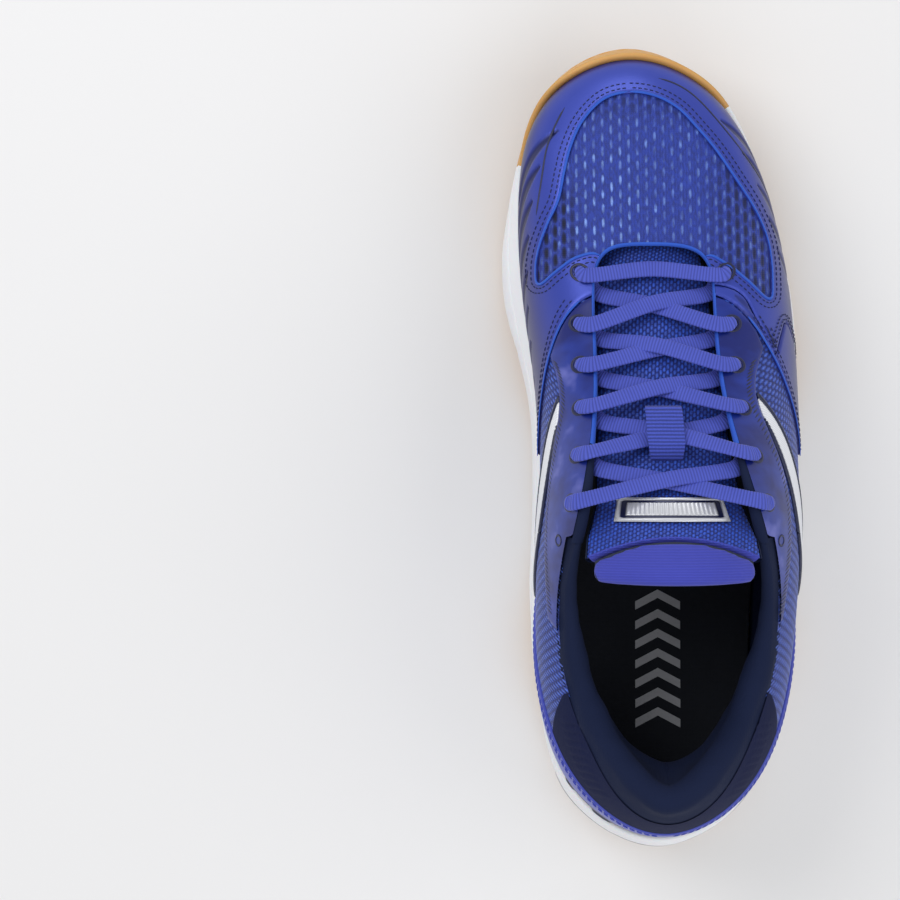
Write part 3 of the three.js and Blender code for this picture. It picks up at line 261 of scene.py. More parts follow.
def skirted(name, base, normal, rise, low, faces, cuts, turned, material, attrs):
    """A clipped surface raised by rise, with a skirt along its cut edges down to low."""
    top = base + normal * rise[:, None]
    rim = np.unique(cuts)
    rim = rim[rim >= 0]
    number = np.full(len(base), -1)
    number[rim] = np.arange(len(rim))
    a, b = (number[cuts] + len(base)).T
    skirt = np.stack([a, b, b + len(rim), a + len(rim)], -1)
    faces = [f[:, ::-1] if turned else f for f in faces + [skirt]]
    verts = np.concatenate([top, top[rim], base[rim] + normal[rim] * low])
    attrs = {key: np.concatenate([values, values[rim], values[rim]]) for key, values in attrs.items()}
    return mesh_object(name, verts, faces, material, attrs)


def clip_grid(us, ts, field, closed):
    """The part of a (u, t) grid where field is positive, cut along field = 0.

    Gives u, t and field of the kept points, the quads, the triangles and the cut edges."""
    rows, cols = len(us), len(ts)
    uu = np.repeat(us, cols)
    tt = np.tile(ts, rows)
    f = field.ravel().copy()
    f[np.abs(f) < 1e-4] = 1e-4
    quads = grid_faces(rows, cols, closed)
    inside = (f > 0)[quads]
    whole = quads[inside.all(1)]
    part = quads[inside.any(1) & ~inside.all(1)]
    tris = np.concatenate([part[:, [0, 1, 2]], part[:, [0, 2, 3]]])
    span = RIB_COUNT if closed else 0
    pair_of = {}
    nu, nt = [], []

    def cut(a, b):
        key = (a, b) if a < b else (b, a)
        if key not in pair_of:
            k = f[key[0]] / (f[key[0]] - f[key[1]])
            u0, u1 = uu[key[0]], uu[key[1]]
            if span and abs(u1 - u0) > span / 2:
                u0, u1 = (u0 + span, u1) if u0 < u1 else (u0, u1 + span)
            pair_of[key] = rows * cols + len(nu)
            nu.append(mix(u0, u1, k))
            nt.append(mix(tt[key[0]], tt[key[1]], k))
        return pair_of[key]

    new_tris, cuts = [], []
    flags = (f > 0)
    for tri in tris.tolist():
        keep = [flags[v] for v in tri]
        count = sum(keep)
        if count == 3:
            new_tris.append(tri)
        elif count == 1:
            k = keep.index(True)
            a, b, c = tri[k], tri[(k + 1) % 3], tri[(k + 2) % 3]
            p, q = cut(a, b), cut(a, c)
            new_tris.append([a, p, q])
            cuts.append([p, q])
        elif count == 2:
            k = keep.index(False)
            a, b, c = tri[k], tri[(k + 1) % 3], tri[(k + 2) % 3]
            p, q = cut(a, b), cut(a, c)
            new_tris.append([p, b, c])
            new_tris.append([p, c, q])
            cuts.append([q, p])
    uu = np.r_[uu, nu]
    tt = np.r_[tt, nt]
    ff = np.r_[f, np.zeros(len(nu))]
    new_tris = np.array(new_tris, np.int64).reshape(-1, 3)
    cuts = np.array(cuts, np.int64).reshape(-1, 2)
    used = np.unique(np.concatenate([whole.ravel(), new_tris.ravel()]))
    renum = np.full(len(uu), -1)
    renum[used] = np.arange(len(used))
    return uu[used], tt[used], ff[used], renum[whole], renum[new_tris], renum[cuts]


PLAN, SIDE = (0, 1), (1, 2)
U_STEP, T_STEP = 0.022, 0.0075


class Sheet:
    """A grid over part of the upper, with its points found once."""

    def __init__(self, u0, u1, t0, t1, du=U_STEP, dt=T_STEP, closed=False):
        self.us = np.linspace(u0, u1, int(round((u1 - u0) / du)) + 1)
        if closed:
            self.us = self.us[:-1]
        self.share = np.linspace(t0, t1, int(round((t1 - t0) / dt)) + 1)
        self.closed = closed
        uu, ss = np.meshgrid(self.us, self.share, indexing="ij")
        self.points = last(uu, ss * top_t(uu))

    def clip(self, field):
        u, s, f, quads, tris, cuts = clip_grid(self.us, self.share, field, self.closed)
        return u, s * top_t(u), f, quads, tris, cuts


def panel(name, sheet, field, material, height, detail=None, edge=0.9, low=-0.2, attrs=None):
    """Raised panel of the upper: a clipped sheet at a height above the last, with its rim turned down."""
    u, t, f, quads, tris, cuts = sheet.clip(field)
    base = last(u, t)
    rounding = np.sqrt(np.clip(1 - (1 - np.clip(f / edge, 0, 1)) ** 2, 0, 1))
    rise = height * (EDGE_SHARE + (1 - EDGE_SHARE) * rounding)
    if detail is not None:
        rise = rise + detail(base, u, t, f)
    values = attrs(base, u, t, f) if attrs else {}
    return skirted(name, base, last_normal(u, t), rise, low, [quads, tris], cuts, True, material, values)


# ------------------------------------------------------------------ materials
def srgb(*rgb):
    """Linear values of a colour given as 0 to 255."""
    linear = lambda c: c / 12.92 if c <= 0.04045 else ((c + 0.055) / 1.055) ** 2.4
    return tuple(linear(c / 255) for c in rgb)


class Shader:
    """A Principled material and short ways to add nodes to it."""

    def __init__(self, name, rgb, rough=0.6, **sockets):
        self.material = bpy.data.materials.new(name)
        self.material.use_nodes = True
        self.tree = self.material.node_tree
        self.bsdf = self.tree.nodes["Principled BSDF"]
        self.bsdf.inputs["Base Color"].default_value = (*srgb(*rgb), 1)
        self.bsdf.inputs["Roughness"].default_value = rough
        for key, value in sockets.items():
            self.bsdf.inputs[key.replace("_", " ")].default_value = value
        self.height = None

    def node(self, kind, **props):
        made = self.tree.nodes.new(kind)
        for key, value in props.items():
            setattr(made, key, value)
        return made

    def link(self, a, b):
        self.tree.links.new(a, b)

    def coords(self, scale=(1.0, 1.0, 1.0)):
        at = self.node("ShaderNodeTexCoord")
        mapping = self.node("ShaderNodeMapping")
        mapping.inputs["Scale"].default_value = scale
        self.link(at.outputs["Object"], mapping.inputs["Vector"])
        return mapping.outputs["Vector"]

    def math(self, op, a, b=None):
        made = self.node("ShaderNodeMath", operation=op)
        for k, value in enumerate((a, b)):
            if value is None:
                continue
            if isinstance(value, (int, float)):
                made.inputs[k].default_value = value
            else:
                self.link(value, made.inputs[k])
        return made.outputs[0]

    def noise(self, scale, detail=4.0, vector=None):
        made = self.node("ShaderNodeTexNoise")
        made.inputs["Scale"].default_value = scale
        made.inputs["Detail"].default_value = detail
        made.inputs["Roughness"].default_value = 0.55
        self.link(vector or self.coords(), made.inputs["Vector"])
        return made.outputs["Fac"]

    def wave(self, scale, vector, direction="X", distortion=0.0):
        made = self.node("ShaderNodeTexWave", bands_direction=direction)
        made.inputs["Scale"].default_value = scale
        made.inputs["Distortion"].default_value = distortion
        self.link(vector, made.inputs["Vector"])
        return made.outputs["Fac"]

    def attribute(self, name):
        made = self.node("ShaderNodeAttribute", attribute_name=name)
        return made.outputs["Fac"]

    def ramp(self, fac, stops):
        made = self.node("ShaderNodeValToRGB")
        ramp = made.color_ramp
        while len(ramp.elements) < len(stops):
            ramp.elements.new(0.5)
        for element, (place, rgb) in zip(ramp.elements, stops):
            element.position = place
            element.color = (*srgb(*rgb), 1)
        self.link(fac, made.inputs["Fac"])
        return made.outputs["Color"]

    def blend(self, fac, a, b):
        made = self.node("ShaderNodeMix", data_type="RGBA")
        for key, value in (("A", a), ("B", b)):
            socket = [s for s in made.inputs if s.name == key and s.type == "RGBA"][0]
            if isinstance(value, tuple):
                socket.default_value = (*srgb(*value), 1)
            else:
                self.link(value, socket)
        factor = [s for s in made.inputs if s.name == "Factor" and s.type == "VALUE"][0]
        self.link(fac, factor)
        return [s for s in made.outputs if s.type == "RGBA"][0]

    def colour(self, socket):
        self.link(socket, self.bsdf.inputs["Base Color"])
        return self

    def rough(self, fac, lo, hi):
        made = self.node("ShaderNodeMapRange")
        made.inputs["To Min"].default_value = lo
        made.inputs["To Max"].default_value = hi
        self.link(fac, made.inputs["Value"])
        self.link(made.outputs["Result"], self.bsdf.inputs["Roughness"])
        return self

    def bump(self, fac, distance, strength=1.0):
        made = self.node("ShaderNodeBump")
        made.inputs["Distance"].default_value = distance
        made.inputs["Strength"].default_value = strength
        self.link(fac, made.inputs["Height"])
        if self.height is not None:
            self.link(self.height, made.inputs["Normal"])
        self.height = made.outputs["Normal"]
        self.link(self.height, self.bsdf.inputs["Normal"])
        return self


def film(name, rgb, light, rough, metal, marks=False):
    """Satin film; marked film is darker in its pressed marks and where it stands steeply, which is painted
    shade in the grooves and on the sides that face away from the light above.
    """
    s = Shader(name, rgb, rough, Metallic=metal, Coat_Weight=0.15, Coat_Roughness=0.3)
    patches = s.noise(28, 3)
    toned = s.blend(s.math("MULTIPLY", patches, 0.4), rgb, light)
    if marks:
        # painted shade: darker and more violet where the film faces sideways
        toned = s.blend(s.math("MULTIPLY", s.attribute("painted_side_shade"), 0.9), toned, (38, 36, 96))
        # painted shade in the pressed marks, darker where they are deeper
        toned = s.blend(s.math("MULTIPLY", s.attribute("mark"), 0.85), toned, (22, 24, 66))
    s.colour(toned)
    s.rough(patches, rough - 0.06, rough + 0.08)
    s.bump(s.noise(1500, 3), 0.00006, 0.5)
    return s.material


def woven(name, rgb, light, rough=0.85, yarn=1100, sheen=0.35, depth=0.00012):
    """Plain cloth whose weave is three crossed waves."""
    s = Shader(name, rgb, rough, Sheen_Weight=sheen, Sheen_Roughness=0.45, Specular_IOR_Level=0.25)
    at = s.coords()
    a, b, c = [s.wave(yarn / 6.28, at, axis, 0.3) for axis in "XYZ"]
    weave = s.math("ADD", s.math("MULTIPLY", a, b), c)
    s.colour(s.blend(s.math("MULTIPLY", s.noise(60, 4), 0.5), rgb, light))
    s.bump(weave, depth, 0.6)
    s.bump(s.noise(1800, 2), 0.00006, 0.4)
    return s.material


def knit(name, dark, bright, painted_glint, rough, stops, heather):
    """Knitted mesh: the yarn attribute says how far a point stands up out of the ground."""
    s = Shader(name, dark, rough, Sheen_Weight=0.2, Sheen_Roughness=0.4)
    yarn = s.attribute("yarn")
    fibres = s.noise(1.0, 2, s.coords((1500.0, 520.0, 520.0)))
    fleck = s.ramp(fibres, [(0.38, (0, 0, 0)), (0.62, (255, 255, 255))])
    # colour by yarn height: dark in the holes, the yarn's blue on the ground, and a painted glint on the yarn
    # that stands highest
    tone = s.ramp(yarn, list(zip(stops, (dark, bright, painted_glint))))
    s.colour(s.blend(s.math("MULTIPLY", fleck, heather), tone, dark))
    s.rough(yarn, 0.85, 0.42)
    s.bump(s.wave(420, s.coords(), "Y", 1.0), 0.0001, 0.6)
    s.bump(s.noise(1600, 2), 0.00008, 0.5)
    return s.material


def simple(name, rgb, light, rough, scale, bump_scale, bump, **sockets):
    """Material with soft patches of two tones and a fine grain."""
    s = Shader(name, rgb, rough, **sockets)
    patches = s.noise(scale, 4)
    s.colour(s.blend(s.math("MULTIPLY", patches, 0.5), rgb, light))
    s.rough(patches, max(rough - 0.07, 0.05), rough + 0.08)
    s.bump(s.noise(bump_scale, 3), bump, 0.6)
    return s.material


def blade_material():
    """Pearly film with fine slanted hatching."""
    s = Shader("pearl_blade", (226, 229, 236), 0.32, Metallic=0.15, Coat_Weight=0.3, Coat_Roughness=0.15)
    at = s.coords()
    turn = s.node("ShaderNodeMapping")
    turn.inputs["Rotation"].default_value = (math.radians(35), 0, 0)
    s.link(at, turn.inputs["Vector"])
    hatch = s.wave(330, turn.outputs["Vector"], "Y")
    s.colour(s.blend(s.math("MULTIPLY", hatch, 0.35), (236, 238, 243), (176, 184, 204)))
    s.bump(hatch, 0.00005, 0.6)
    return s.material


def streaked_film():
    """The eyestays' film, with streaks across the shoe."""
    s = Shader("clear_film", (26, 46, 128), 0.34, Coat_Weight=0.15, Coat_Roughness=0.12,
               Specular_IOR_Level=0.35)
    streak = s.noise(1.0, 3, s.coords((14.0, 60.0, 60.0)))
    s.colour(s.ramp(streak, [(0.4, (12, 28, 108)), (0.6, (26, 50, 146)), (0.78, (104, 110, 192))]))
    s.bump(s.noise(90, 2), 0.0003, 0.5)
    return s.material


def ribbed_lace():
    """Lace cloth, darker where the rib attribute says there is a groove: painted shade in the grooves between
    its ribs.
    """
    s = Shader("lace_cloth", (72, 86, 190), 0.8, Sheen_Weight=0.2, Sheen_Roughness=0.4)
    tone = s.blend(s.math("MULTIPLY", s.noise(90, 3), 0.5), (68, 82, 186), (86, 100, 206))
    # painted shade in the grooves between the ribs
    s.colour(s.blend(s.math("MULTIPLY", s.attribute("rib"), 0.62), tone, (30, 38, 112)))
    s.bump(s.noise(2400, 3), 0.0001, 0.5)
    return s.material


def ribbed_cloth(name, rgb, light, groove, scale, share, depth):
    """Cloth with fine ribs across the shoe, with painted shade in the grooves between them."""
    s = Shader(name, rgb, 0.8, Sheen_Weight=0.12, Sheen_Roughness=0.4)
    ribs = s.wave(scale, s.coords(), "Y", 0.6)
    tone = s.blend(s.math("MULTIPLY", s.noise(60, 3), 0.5), rgb, light)
    # painted shade in the grooves between the ribs
    s.colour(s.blend(s.math("MULTIPLY", ribs, share), tone, groove))
    s.bump(ribs, depth, 0.8)
    return s.material


def band_print():
    """Heel band: film with the printed dots of its dots attribute."""
    s = Shader("heel_band_print", (56, 70, 172), 0.42, Metallic=0.25, Coat_Weight=0.15, Coat_Roughness=0.3)
    tone = s.blend(s.math("MULTIPLY", s.noise(28, 3), 0.35), (56, 70, 172), (92, 98, 205))
    s.colour(s.blend(s.attribute("dots"), tone, (22, 30, 82)))
    s.bump(s.noise(1500, 3), 0.00006, 0.5)
    return s.material


def badge_print():
    """Bright metallic plate with the dark field of its ground attribute."""
    s = Shader("badge_plate_print", (182, 184, 192), 0.32, Metallic=0.45, Coat_Weight=0.2)
    s.colour(s.blend(s.attribute("ground"), (206, 208, 214), (22, 28, 66)))
    s.bump(s.noise(1500, 3), 0.00004, 0.5)
    return s.material


def hole_shadow():
    s = Shader("hole_shadow", (6, 8, 16), 0.95)
    s.bump(s.noise(900, 2), 0.00005)
    return s.material


def pale_floor():
    s = Shader("pale_floor", (229, 229, 230), 0.7)
    s.colour(s.blend(s.noise(4, 2), (228, 228, 229), (231, 231, 232)))
    return s.material


MATS = {
    "marked_film": film("pressed_film", (46, 64, 164), (76, 92, 204), 0.36, 0.45, marks=True),
    "navy_film": film("navy_film", (20, 27, 60), (40, 50, 92), 0.35, 0.1),
    "vamp": knit("vamp_knit", (8, 14, 46), (30, 56, 158), (120, 156, 236), 0.55, (0.0, 0.36, 0.98), 0.4),
    "quarter": knit("quarter_knit", (18, 36, 104), (30, 66, 176), (62, 104, 212), 0.7, (0.0, 0.5, 1.0), 0.5),
    "tongue": knit("tongue_knit", (10, 30, 104), (26, 70, 190), (48, 98, 214), 0.8, (0.0, 0.5, 1.0), 0.6),
    "navy_cloth": woven("navy_lining", (13, 24, 54), (19, 32, 66), 0.9, 2200, 0.0, 0.00005),
    "edge_blue": woven("blue_edge", (34, 78, 186), (58, 108, 216), 0.6, 2200, 0.1, 0.00005),
    "rear": woven("navy_rear", (8, 18, 56), (13, 25, 68), 0.9, 2200, 0.0, 0.00005),
    "back": woven("tongue_back_cloth", (22, 30, 58), (34, 44, 78)),
    "black": woven("insole_cloth", (26, 29, 36), (42, 46, 56), 0.85, 1500, 0.1),
    "print": woven("grey_print", (176, 178, 184), (196, 198, 204), 0.7, 1500, 0.1),
    "white": simple("white_eva", (232, 233, 238), (244, 245, 248), 0.55, 30, 1400, 0.00008,
                    Subsurface_Weight=0.12, Subsurface_Scale=0.003),
    "gum": simple("gum_rubber", (200, 148, 78), (222, 176, 108), 0.5, 45, 900, 0.0001,
                  Subsurface_Weight=0.15, Subsurface_Scale=0.003),
    "silver": simple("silver_film", (150, 152, 156), (186, 188, 192), 0.3, 40, 2200, 0.00003, Metallic=0.75),
    "board": simple("lasting_board", (196, 188, 168), (212, 206, 188), 0.8, 60, 900, 0.0001),
    "stiffener": simple("stiffener", (198, 190, 174), (214, 208, 194), 0.6, 50, 700, 0.00008),
    "foam": simple("grey_foam", (34, 40, 58), (46, 54, 76), 0.9, 60, 500, 0.0003),
    "black_foam": simple("black_foam", (32, 34, 40), (46, 48, 56), 0.85, 60, 500, 0.0003),
    "stitch": simple("navy_thread", (16, 22, 62), (34, 44, 104), 0.7, 300, 2500, 0.00006),
    "blue_stitch": simple("blue_thread", (44, 56, 160), (78, 92, 200), 0.7, 300, 2500, 0.00006),
    "ink": simple("printed_line", (18, 24, 62), (26, 34, 80), 0.4, 60, 1500, 0.00003),
    "blade": blade_material(),
    "gloss": streaked_film(),
    "lace": ribbed_lace(),
    "cuff": ribbed_cloth("stretch_cloth", (54, 62, 172), (72, 80, 194), (40, 46, 140), 330, 0.4, -0.00015),
    "loop": ribbed_cloth("webbing", (62, 80, 190), (80, 98, 208), (18, 30, 96), 245, 0.75, -0.0003),
    "band": band_print(),
    "badge": badge_print(),
    "hole": hole_shadow(),
    "floor": pale_floor(),
}


def place(obj, body, slot_name, *nodes):
    """Give a piece its body, and hide the CAD nodes it stands for. Its slot_name is not used."""
    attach(obj, body)
    if nodes:
        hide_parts(*nodes)
    return obj


# ------------------------------------------------------------------ outlines
def close_front(rear):
    """Closed outline of everything in front of a line that runs down from the top."""
    return np.concatenate([rear, [[320, -10], [320, 110], [rear[0][0], 110]]])


EYESTAY_LOW = [[186, 72], [172, 82], [157, 87.5], [130, 90.4], [108, 91], [88, 89]]
OVERLAY_REAR = resample([[214, 92], [207.4, 80.3], [186.4, 75], [171, 70.1], [150, 61.9], [146.3, 59.6],
                         [149.5, 53], [148, 46], [138, 38], [126.4, 30], [120, 14]], 3.0)
TOE_REAR_OUTER = spline([[216, 98], [209, 78], [196, 75], [184, 73], [191, 66], [196, 60], [190, 54],
                         [183, 47], [176, 38], [168, 16]], 54)
MESH_WINDOW = spline([[-11, 281.2], [-20, 278.6], [-27.7, 270.5], [-32.1, 260.8], [-34.5, 251.3],
                      [-36.6, 241], [-40.4, 232.4], [-43.4, 223.7], [-44.6, 216], [-43.6, 209.8],
                      [-37.5, 214.5], [-30, 219.5], [-21, 219], [-12, 200], [6, 200], [15.4, 219],
                      [23.6, 217], [31.5, 211], [40, 204.2], [41.4, 213], [40.6, 223.7], [38.2, 231.6],
                      [34.2, 239.5], [28.6, 248.1], [21.2, 259.2], [14.1, 267.9], [7, 275.4],
                      [-1.7, 280]], 200, closed=True)
BAND_TOP = spline([[139, 37], [112.5, 49.9], [97.9, 55.1], [69.4, 64.5], [45.4, 71.6], [10.5, 82.5],
                   [-12, 86]], 30)
COUNTER_TOP = spline([[45.4, 20], [45.4, 40.1], [38, 53], [25, 61], [8.3, 67.5], [-12, 70]], 24)
REAR_SEAM = np.array([[64, 100], [60.4, 88], [45.4, 71], [-12, 71], [-12, 140], [64, 140]], float)
BLADE = spline([[169, 84.5], [163, 86], [156, 87], [130, 86.5], [112, 80], [97, 66], [88, 55], [101, 57],
                [118, 68], [133, 74.5], [150, 78.5], [161, 81.8]], 72, closed=True)
STRIP_SIDE = spline([[-6, 36], [2, 37.5], [12, 34.5], [27, 23.5], [14, 26], [2, 28.5], [-6, 29]], 48)

BAND = np.concatenate([BAND_TOP, [[-12, 10], [139, 10]]])
EYESTAY = np.concatenate([spline(EYESTAY_LOW, 20), [[80, 99], [101, 128], [150, 140], [226, 120], [226, 72]]])

UPPER = Sheet(0, RIB_COUNT, 0.06, 0.995, closed=True)
XP = UPPER.points[..., 0]
YZ = UPPER.points[..., SIDE]
IN_WINDOW = sdf(UPPER.points[..., PLAN], MESH_WINDOW)
IN_OVERLAY = sdf(YZ, close_front(OVERLAY_REAR))
IN_TOE = sdf(YZ, close_front(TOE_REAR_OUTER))
IN_BAND = sdf(YZ, BAND)
IN_COUNTER = sdf(YZ, np.concatenate([COUNTER_TOP, [[-12, 20]]]))


# ------------------------------------------------------------------ upper: film panels
def grooves(lines, width, depth):
    """Pressed-in lines, each given as outline axes, side of the shoe, 2-D points and share of the depth."""
    def detail(base, u, t, f):
        total = np.zeros(len(u))
        for axes, side, line, share in lines:
            flat = base[:, axes]
            near = ((flat > line.min(0) - 6) & (flat < line.max(0) + 6)).all(1)
            near &= np.sign(HEEL - u % RIB_COUNT) == side
            px, py = flat[near].T
            best = np.full(len(px), 1e9)
            for (ax, ay), (bx, by) in zip(line[:-1], line[1:]):
                ex, ey = bx - ax, by - ay
                k = np.clip(((px - ax) * ex + (py - ay) * ey) / max(ex * ex + ey * ey, 1e-9), 0, 1)
                taper = 1 - 0.75 * abs(2 * k - 1) ** 3
                best = np.minimum(best, np.hypot(px - ax - k * ex, py - ay - k * ey) / (width * taper))
            total[near] -= share * depth * smooth(1.0, 0.35, best)
        return total
    return detail


OUTER_SIDE, INNER_SIDE = 1, -1
SIDES = (("lateral", OUTER_SIDE), ("medial", INNER_SIDE))
SEAM_GAP = 0.4           # between the edges of neighbouring films
leaf = lambda y, z, dy, dz: np.array([[y, z], [y + dy, z + dz]], float)
FOREFOOT_MARKS = (
    [(SIDE, INNER_SIDE, leaf(150 + 13 * k, 33 + 1.6 * k, 26, 24 - 1.7 * k), 1.0) for k in range(8)]
    + [(SIDE, OUTER_SIDE, leaf(203 + 12 * k, 35 + 1.6 * k, 20, 19 - 1.6 * k), 0.9) for k in range(5)]
)
SADDLE_MARKS = (
    [(SIDE, OUTER_SIDE, leaf(136 + 9 * k, 33, 15, 20), 0.8) for k in range(5)]
    + [(PLAN, OUTER_SIDE, leaf(26.5 - 0.4 * k, 205 - 3.4 * k, 13, -10.5), 0.6) for k in range(6)]
)


def pressed_film(name, field, height, marks, width, depth, node):
    """Film overlay with pressed marks."""
    pressed = grooves(marks, width, depth)

    def attrs(base, u, t, f):
        # painted shade for the film's colour: how deep the pressed marks are, and where the film faces
        # sideways
        painted_side_shade = smooth(0.8, 0.15, last_normal(u, t)[:, 2])
        return {"mark": -pressed(base, u, t, f) / depth, "painted_side_shade": painted_side_shade}

    film_panel = panel(name, UPPER, field, MATS["marked_film"], height, pressed, attrs=attrs)
    place(film_panel, "shoe", "blue_film", node)


pressed_film("toe_overlay_film", np.minimum(np.where(XP > 0, IN_TOE, IN_OVERLAY), -IN_WINDOW), OVER_OUT,
             FOREFOOT_MARKS, 2.5, 0.6, "toe_overlay")
in_saddle = np.where(XP > 0, np.minimum.reduce([IN_OVERLAY, -IN_TOE - 0.35, -IN_WINDOW]), -1.0)
pressed_film("saddle_film", in_saddle, OVER_OUT + 0.25, SADDLE_MARKS, 1.7, 0.5, "saddle_lateral")
STAY_RISE = {OUTER_SIDE: np.array([0, 5.0]), INNER_SIDE: np.array([0, 0.0])}
BLADE_SHIFT = {OUTER_SIDE: np.array([7.0, 5.5]), INNER_SIDE: np.array([6.0, 1.0])}
for side, sign in SIDES:
    in_stay = sdf(YZ - STAY_RISE[sign], EYESTAY)
    in_blade = sdf(YZ - BLADE_SHIFT[sign], BLADE)
    off_overlay = -IN_OVERLAY - SEAM_GAP
    stay = np.where(sign * XP > 2, np.minimum(in_stay, off_overlay), -1.0)
    place(panel("eyestay_film_" + side, UPPER, stay, MATS["gloss"], OVER_OUT), "shoe", "clear_film",
          "eyestay_" + side)
    free = np.minimum.reduce([off_overlay, -in_stay - SEAM_GAP, -IN_BAND - SEAM_GAP])
    blade = np.where(sign * XP > 8, np.minimum(in_blade - 1.5, free), -1.0)
    place(panel("blade_film_" + side, UPPER, blade, MATS["blade"], OVER_OUT), "shoe", "white_film",
          "side_blade_" + side)
    rim = np.where(sign * XP > 8, np.minimum.reduce([in_blade + 0.3, -(in_blade - 1.6), free]), -1.0)
    place(panel("blade_rim_" + side, UPPER, rim, MATS["navy_film"], OVER_OUT + 0.15, edge=0.6), "shoe",
          "navy_film", "blade_border_" + side)


def band_dots(base, u, t, f):
    """Halftone dots that fade upwards from the sole, printed in the band's colour."""
    y, z = base[:, 1], base[:, 2]
    a = (y + z * 0.5) / 2.6
    b = z / 2.25
    cx = np.mod(a + 0.5 * np.mod(np.floor(b), 2), 1) - 0.5
    cy = np.mod(b, 1) - 0.5
    size = 0.44 * smooth(64, 38, z) * smooth(30, 52, y) * smooth(132, 100, y)
    return {"dots": smooth(0.06, -0.02, np.hypot(cx, cy) - size) * (size > 0.08)}


place(panel("heel_band_film", UPPER, np.minimum.reduce([IN_BAND, -IN_COUNTER - 0.3, -IN_OVERLAY - SEAM_GAP]),
            MATS["band"], OVER_OUT, attrs=band_dots), "shoe", "blue_film", "heel_band")


def counter_detail(base, u, t, f):
    """Fine level ribs and three raised studs."""
    rows = 0.28 * (np.abs(np.sin(np.pi * base[:, 2] / 1.5)) ** 0.7 - 0.6) * smooth(2.0, 3.2, f)
    for y, z in ((37, 44.6), (25, 48.8), (14, 54)):
        r = np.hypot(base[:, 1] - y, base[:, 2] - z)
        rows = np.where(r < 3.6, 0, rows) + 1.0 * smooth(3.0, 2.1, r)
    return rows


place(panel("heel_counter_panel", UPPER, IN_COUNTER, MATS["navy_film"], OVER_OUT, counter_detail), "shoe",
      "navy_film", "counter_panel")


def rear_detail(base, u, t, f):
    """A patch of upright ribs."""
    y, z = base[:, 1], base[:, 2]
    ribs = 0.55 * (np.abs(np.sin(np.pi * y / 2.9)) ** 0.8 - 0.5)
    return ribs * (smooth(82, 86, z) * smooth(97, 93, z) * smooth(22, 26, y) * smooth(54, 50, y))


place(panel("rear_quarter_cloth", UPPER, sdf(YZ, REAR_SEAM), MATS["rear"], 0.35, rear_detail), "shoe",
      "navy_cloth", "rear_quarter")


# ------------------------------------------------------------------ upper: knitted mesh
def dash_knit(a, b, pitch_a, pitch_b, long_share=0.5, wide_share=0.27):
    """Staggered upright dashes: 1 on the yarn, 0 in the holes between."""
    col = np.floor(2 * a / pitch_a)
    x = np.mod(2 * a / pitch_a, 1) - 0.5
    y = np.mod(b / pitch_b + 0.5 * np.mod(col, 2), 1) - 0.5
    dash = np.clip(1 - (np.abs(x) / (2 * wide_share)) ** 2.4 - (np.abs(y) / long_share) ** 2.6, 0, 1)
    return np.sqrt(dash)


def vamp_yarn(base):
    """Ground cloth at 0.36, with bright dashes above it and dark gaps at the corners of the window. The
    dashes reach the painted glint, and stand highest, in a patch left of the middle.
    """
    x, y = base[:, 0], base[:, 1]
    corner = smooth(-27, -35, x) * smooth(252, 238, y)
    corner = corner + 0.85 * smooth(12, 30, x) * smooth(272, 246, y) + 0.5 * smooth(268, 276, y)
    # painted glint: a patch left of the middle where the dashes are brightest; it also scales their height
    painted_glint_patch = 0.3 + 0.75 * np.exp(-((x + 21) / 15) ** 2 - ((y - 236) / 27) ** 2) + 0.1 * smooth(0, 12, x)
    painted_glint_patch = painted_glint_patch * (0.8 + 0.7 * noise(base, 5, 8)) * (1 - 0.35 * np.clip(corner, 0, 1))
    dash = dash_knit(x, y, 6.4, 5.4, 0.34, 0.085) * np.clip(painted_glint_patch, 0, 1)
    gap = dash_knit(x + 1.6, y, 6.4, 5.4, 0.47, 0.15)
    return 0.36 + 0.64 * dash - 0.36 * gap * np.clip(corner, 0, 1)


def vamp_detail(base, u, t, f):
    knit_rows = np.cos(2 * np.pi * base[:, 0] / 1.07)
    return 0.5 * (vamp_yarn(base) - 0.4) + 0.07 * knit_rows


VAMP = Sheet(-4.35, 4.35, 0.28, 1.0, 0.0105, 0.0046)
UNDERLAP = 3.2           # how far the vamp's knit reaches under the film round its window
place(panel("vamp_knit", VAMP, sdf(VAMP.points[..., PLAN], MESH_WINDOW) + UNDERLAP, MATS["vamp"], 0.05,
            vamp_detail, low=-0.5, attrs=lambda base, u, t, f: {"yarn": vamp_yarn(base)}),
      "shoe", "blue_mesh", "vamp_mesh")


def quarter_yarn(base):
    y, z = base[:, 1], base[:, 2]
    return dash_knit(y + 0.55 * z, z, 3.0, 3.4, 0.4, 0.18)


for side, sign in SIDES:
    lo, hi = (3.6, HEEL - 0.5) if sign > 0 else (HEEL + 0.5, RIB_COUNT - 3.6)
    quarter = Sheet(lo, hi, 0.08, 1.0, 0.012, 0.0062)
    yz = quarter.points[..., SIDE]
    open_part = np.minimum.reduce([-sdf(yz, close_front(OVERLAY_REAR)) + 2.5, -sdf(yz, REAR_SEAM) + 1.5,
                                   -sdf(yz, EYESTAY) + 14.0, -sdf(yz, BAND) + 2.0])
    place(panel("quarter_knit_" + side, quarter, open_part, MATS["quarter"], 0.05,
                lambda base, u, t, f: 0.14 * quarter_yarn(base) - 0.1, low=-0.5,
                attrs=lambda base, u, t, f: {"yarn": quarter_yarn(base)}),
          "shoe", "blue_mesh", "quarter_mesh_" + side)


# ------------------------------------------------------------------ collar
def roll_at(u):
    return mix(EDGE_ROLL + 0.6, COLLAR_ROLL, smooth(HEEL - COLLAR_U, 1.6, from_heel(u)))


def pad_at(u, t):
    swell = smooth(3.6, 0.0, from_heel(u)) * (HEEL_PAD + 4) * np.sin(np.pi * np.clip((t - 0.4) / 0.6, 0, 1))
    return mix(2 * (EDGE_ROLL + 0.75), 2 * roll_at(u), smooth(0.3, 0.75, t)) + swell


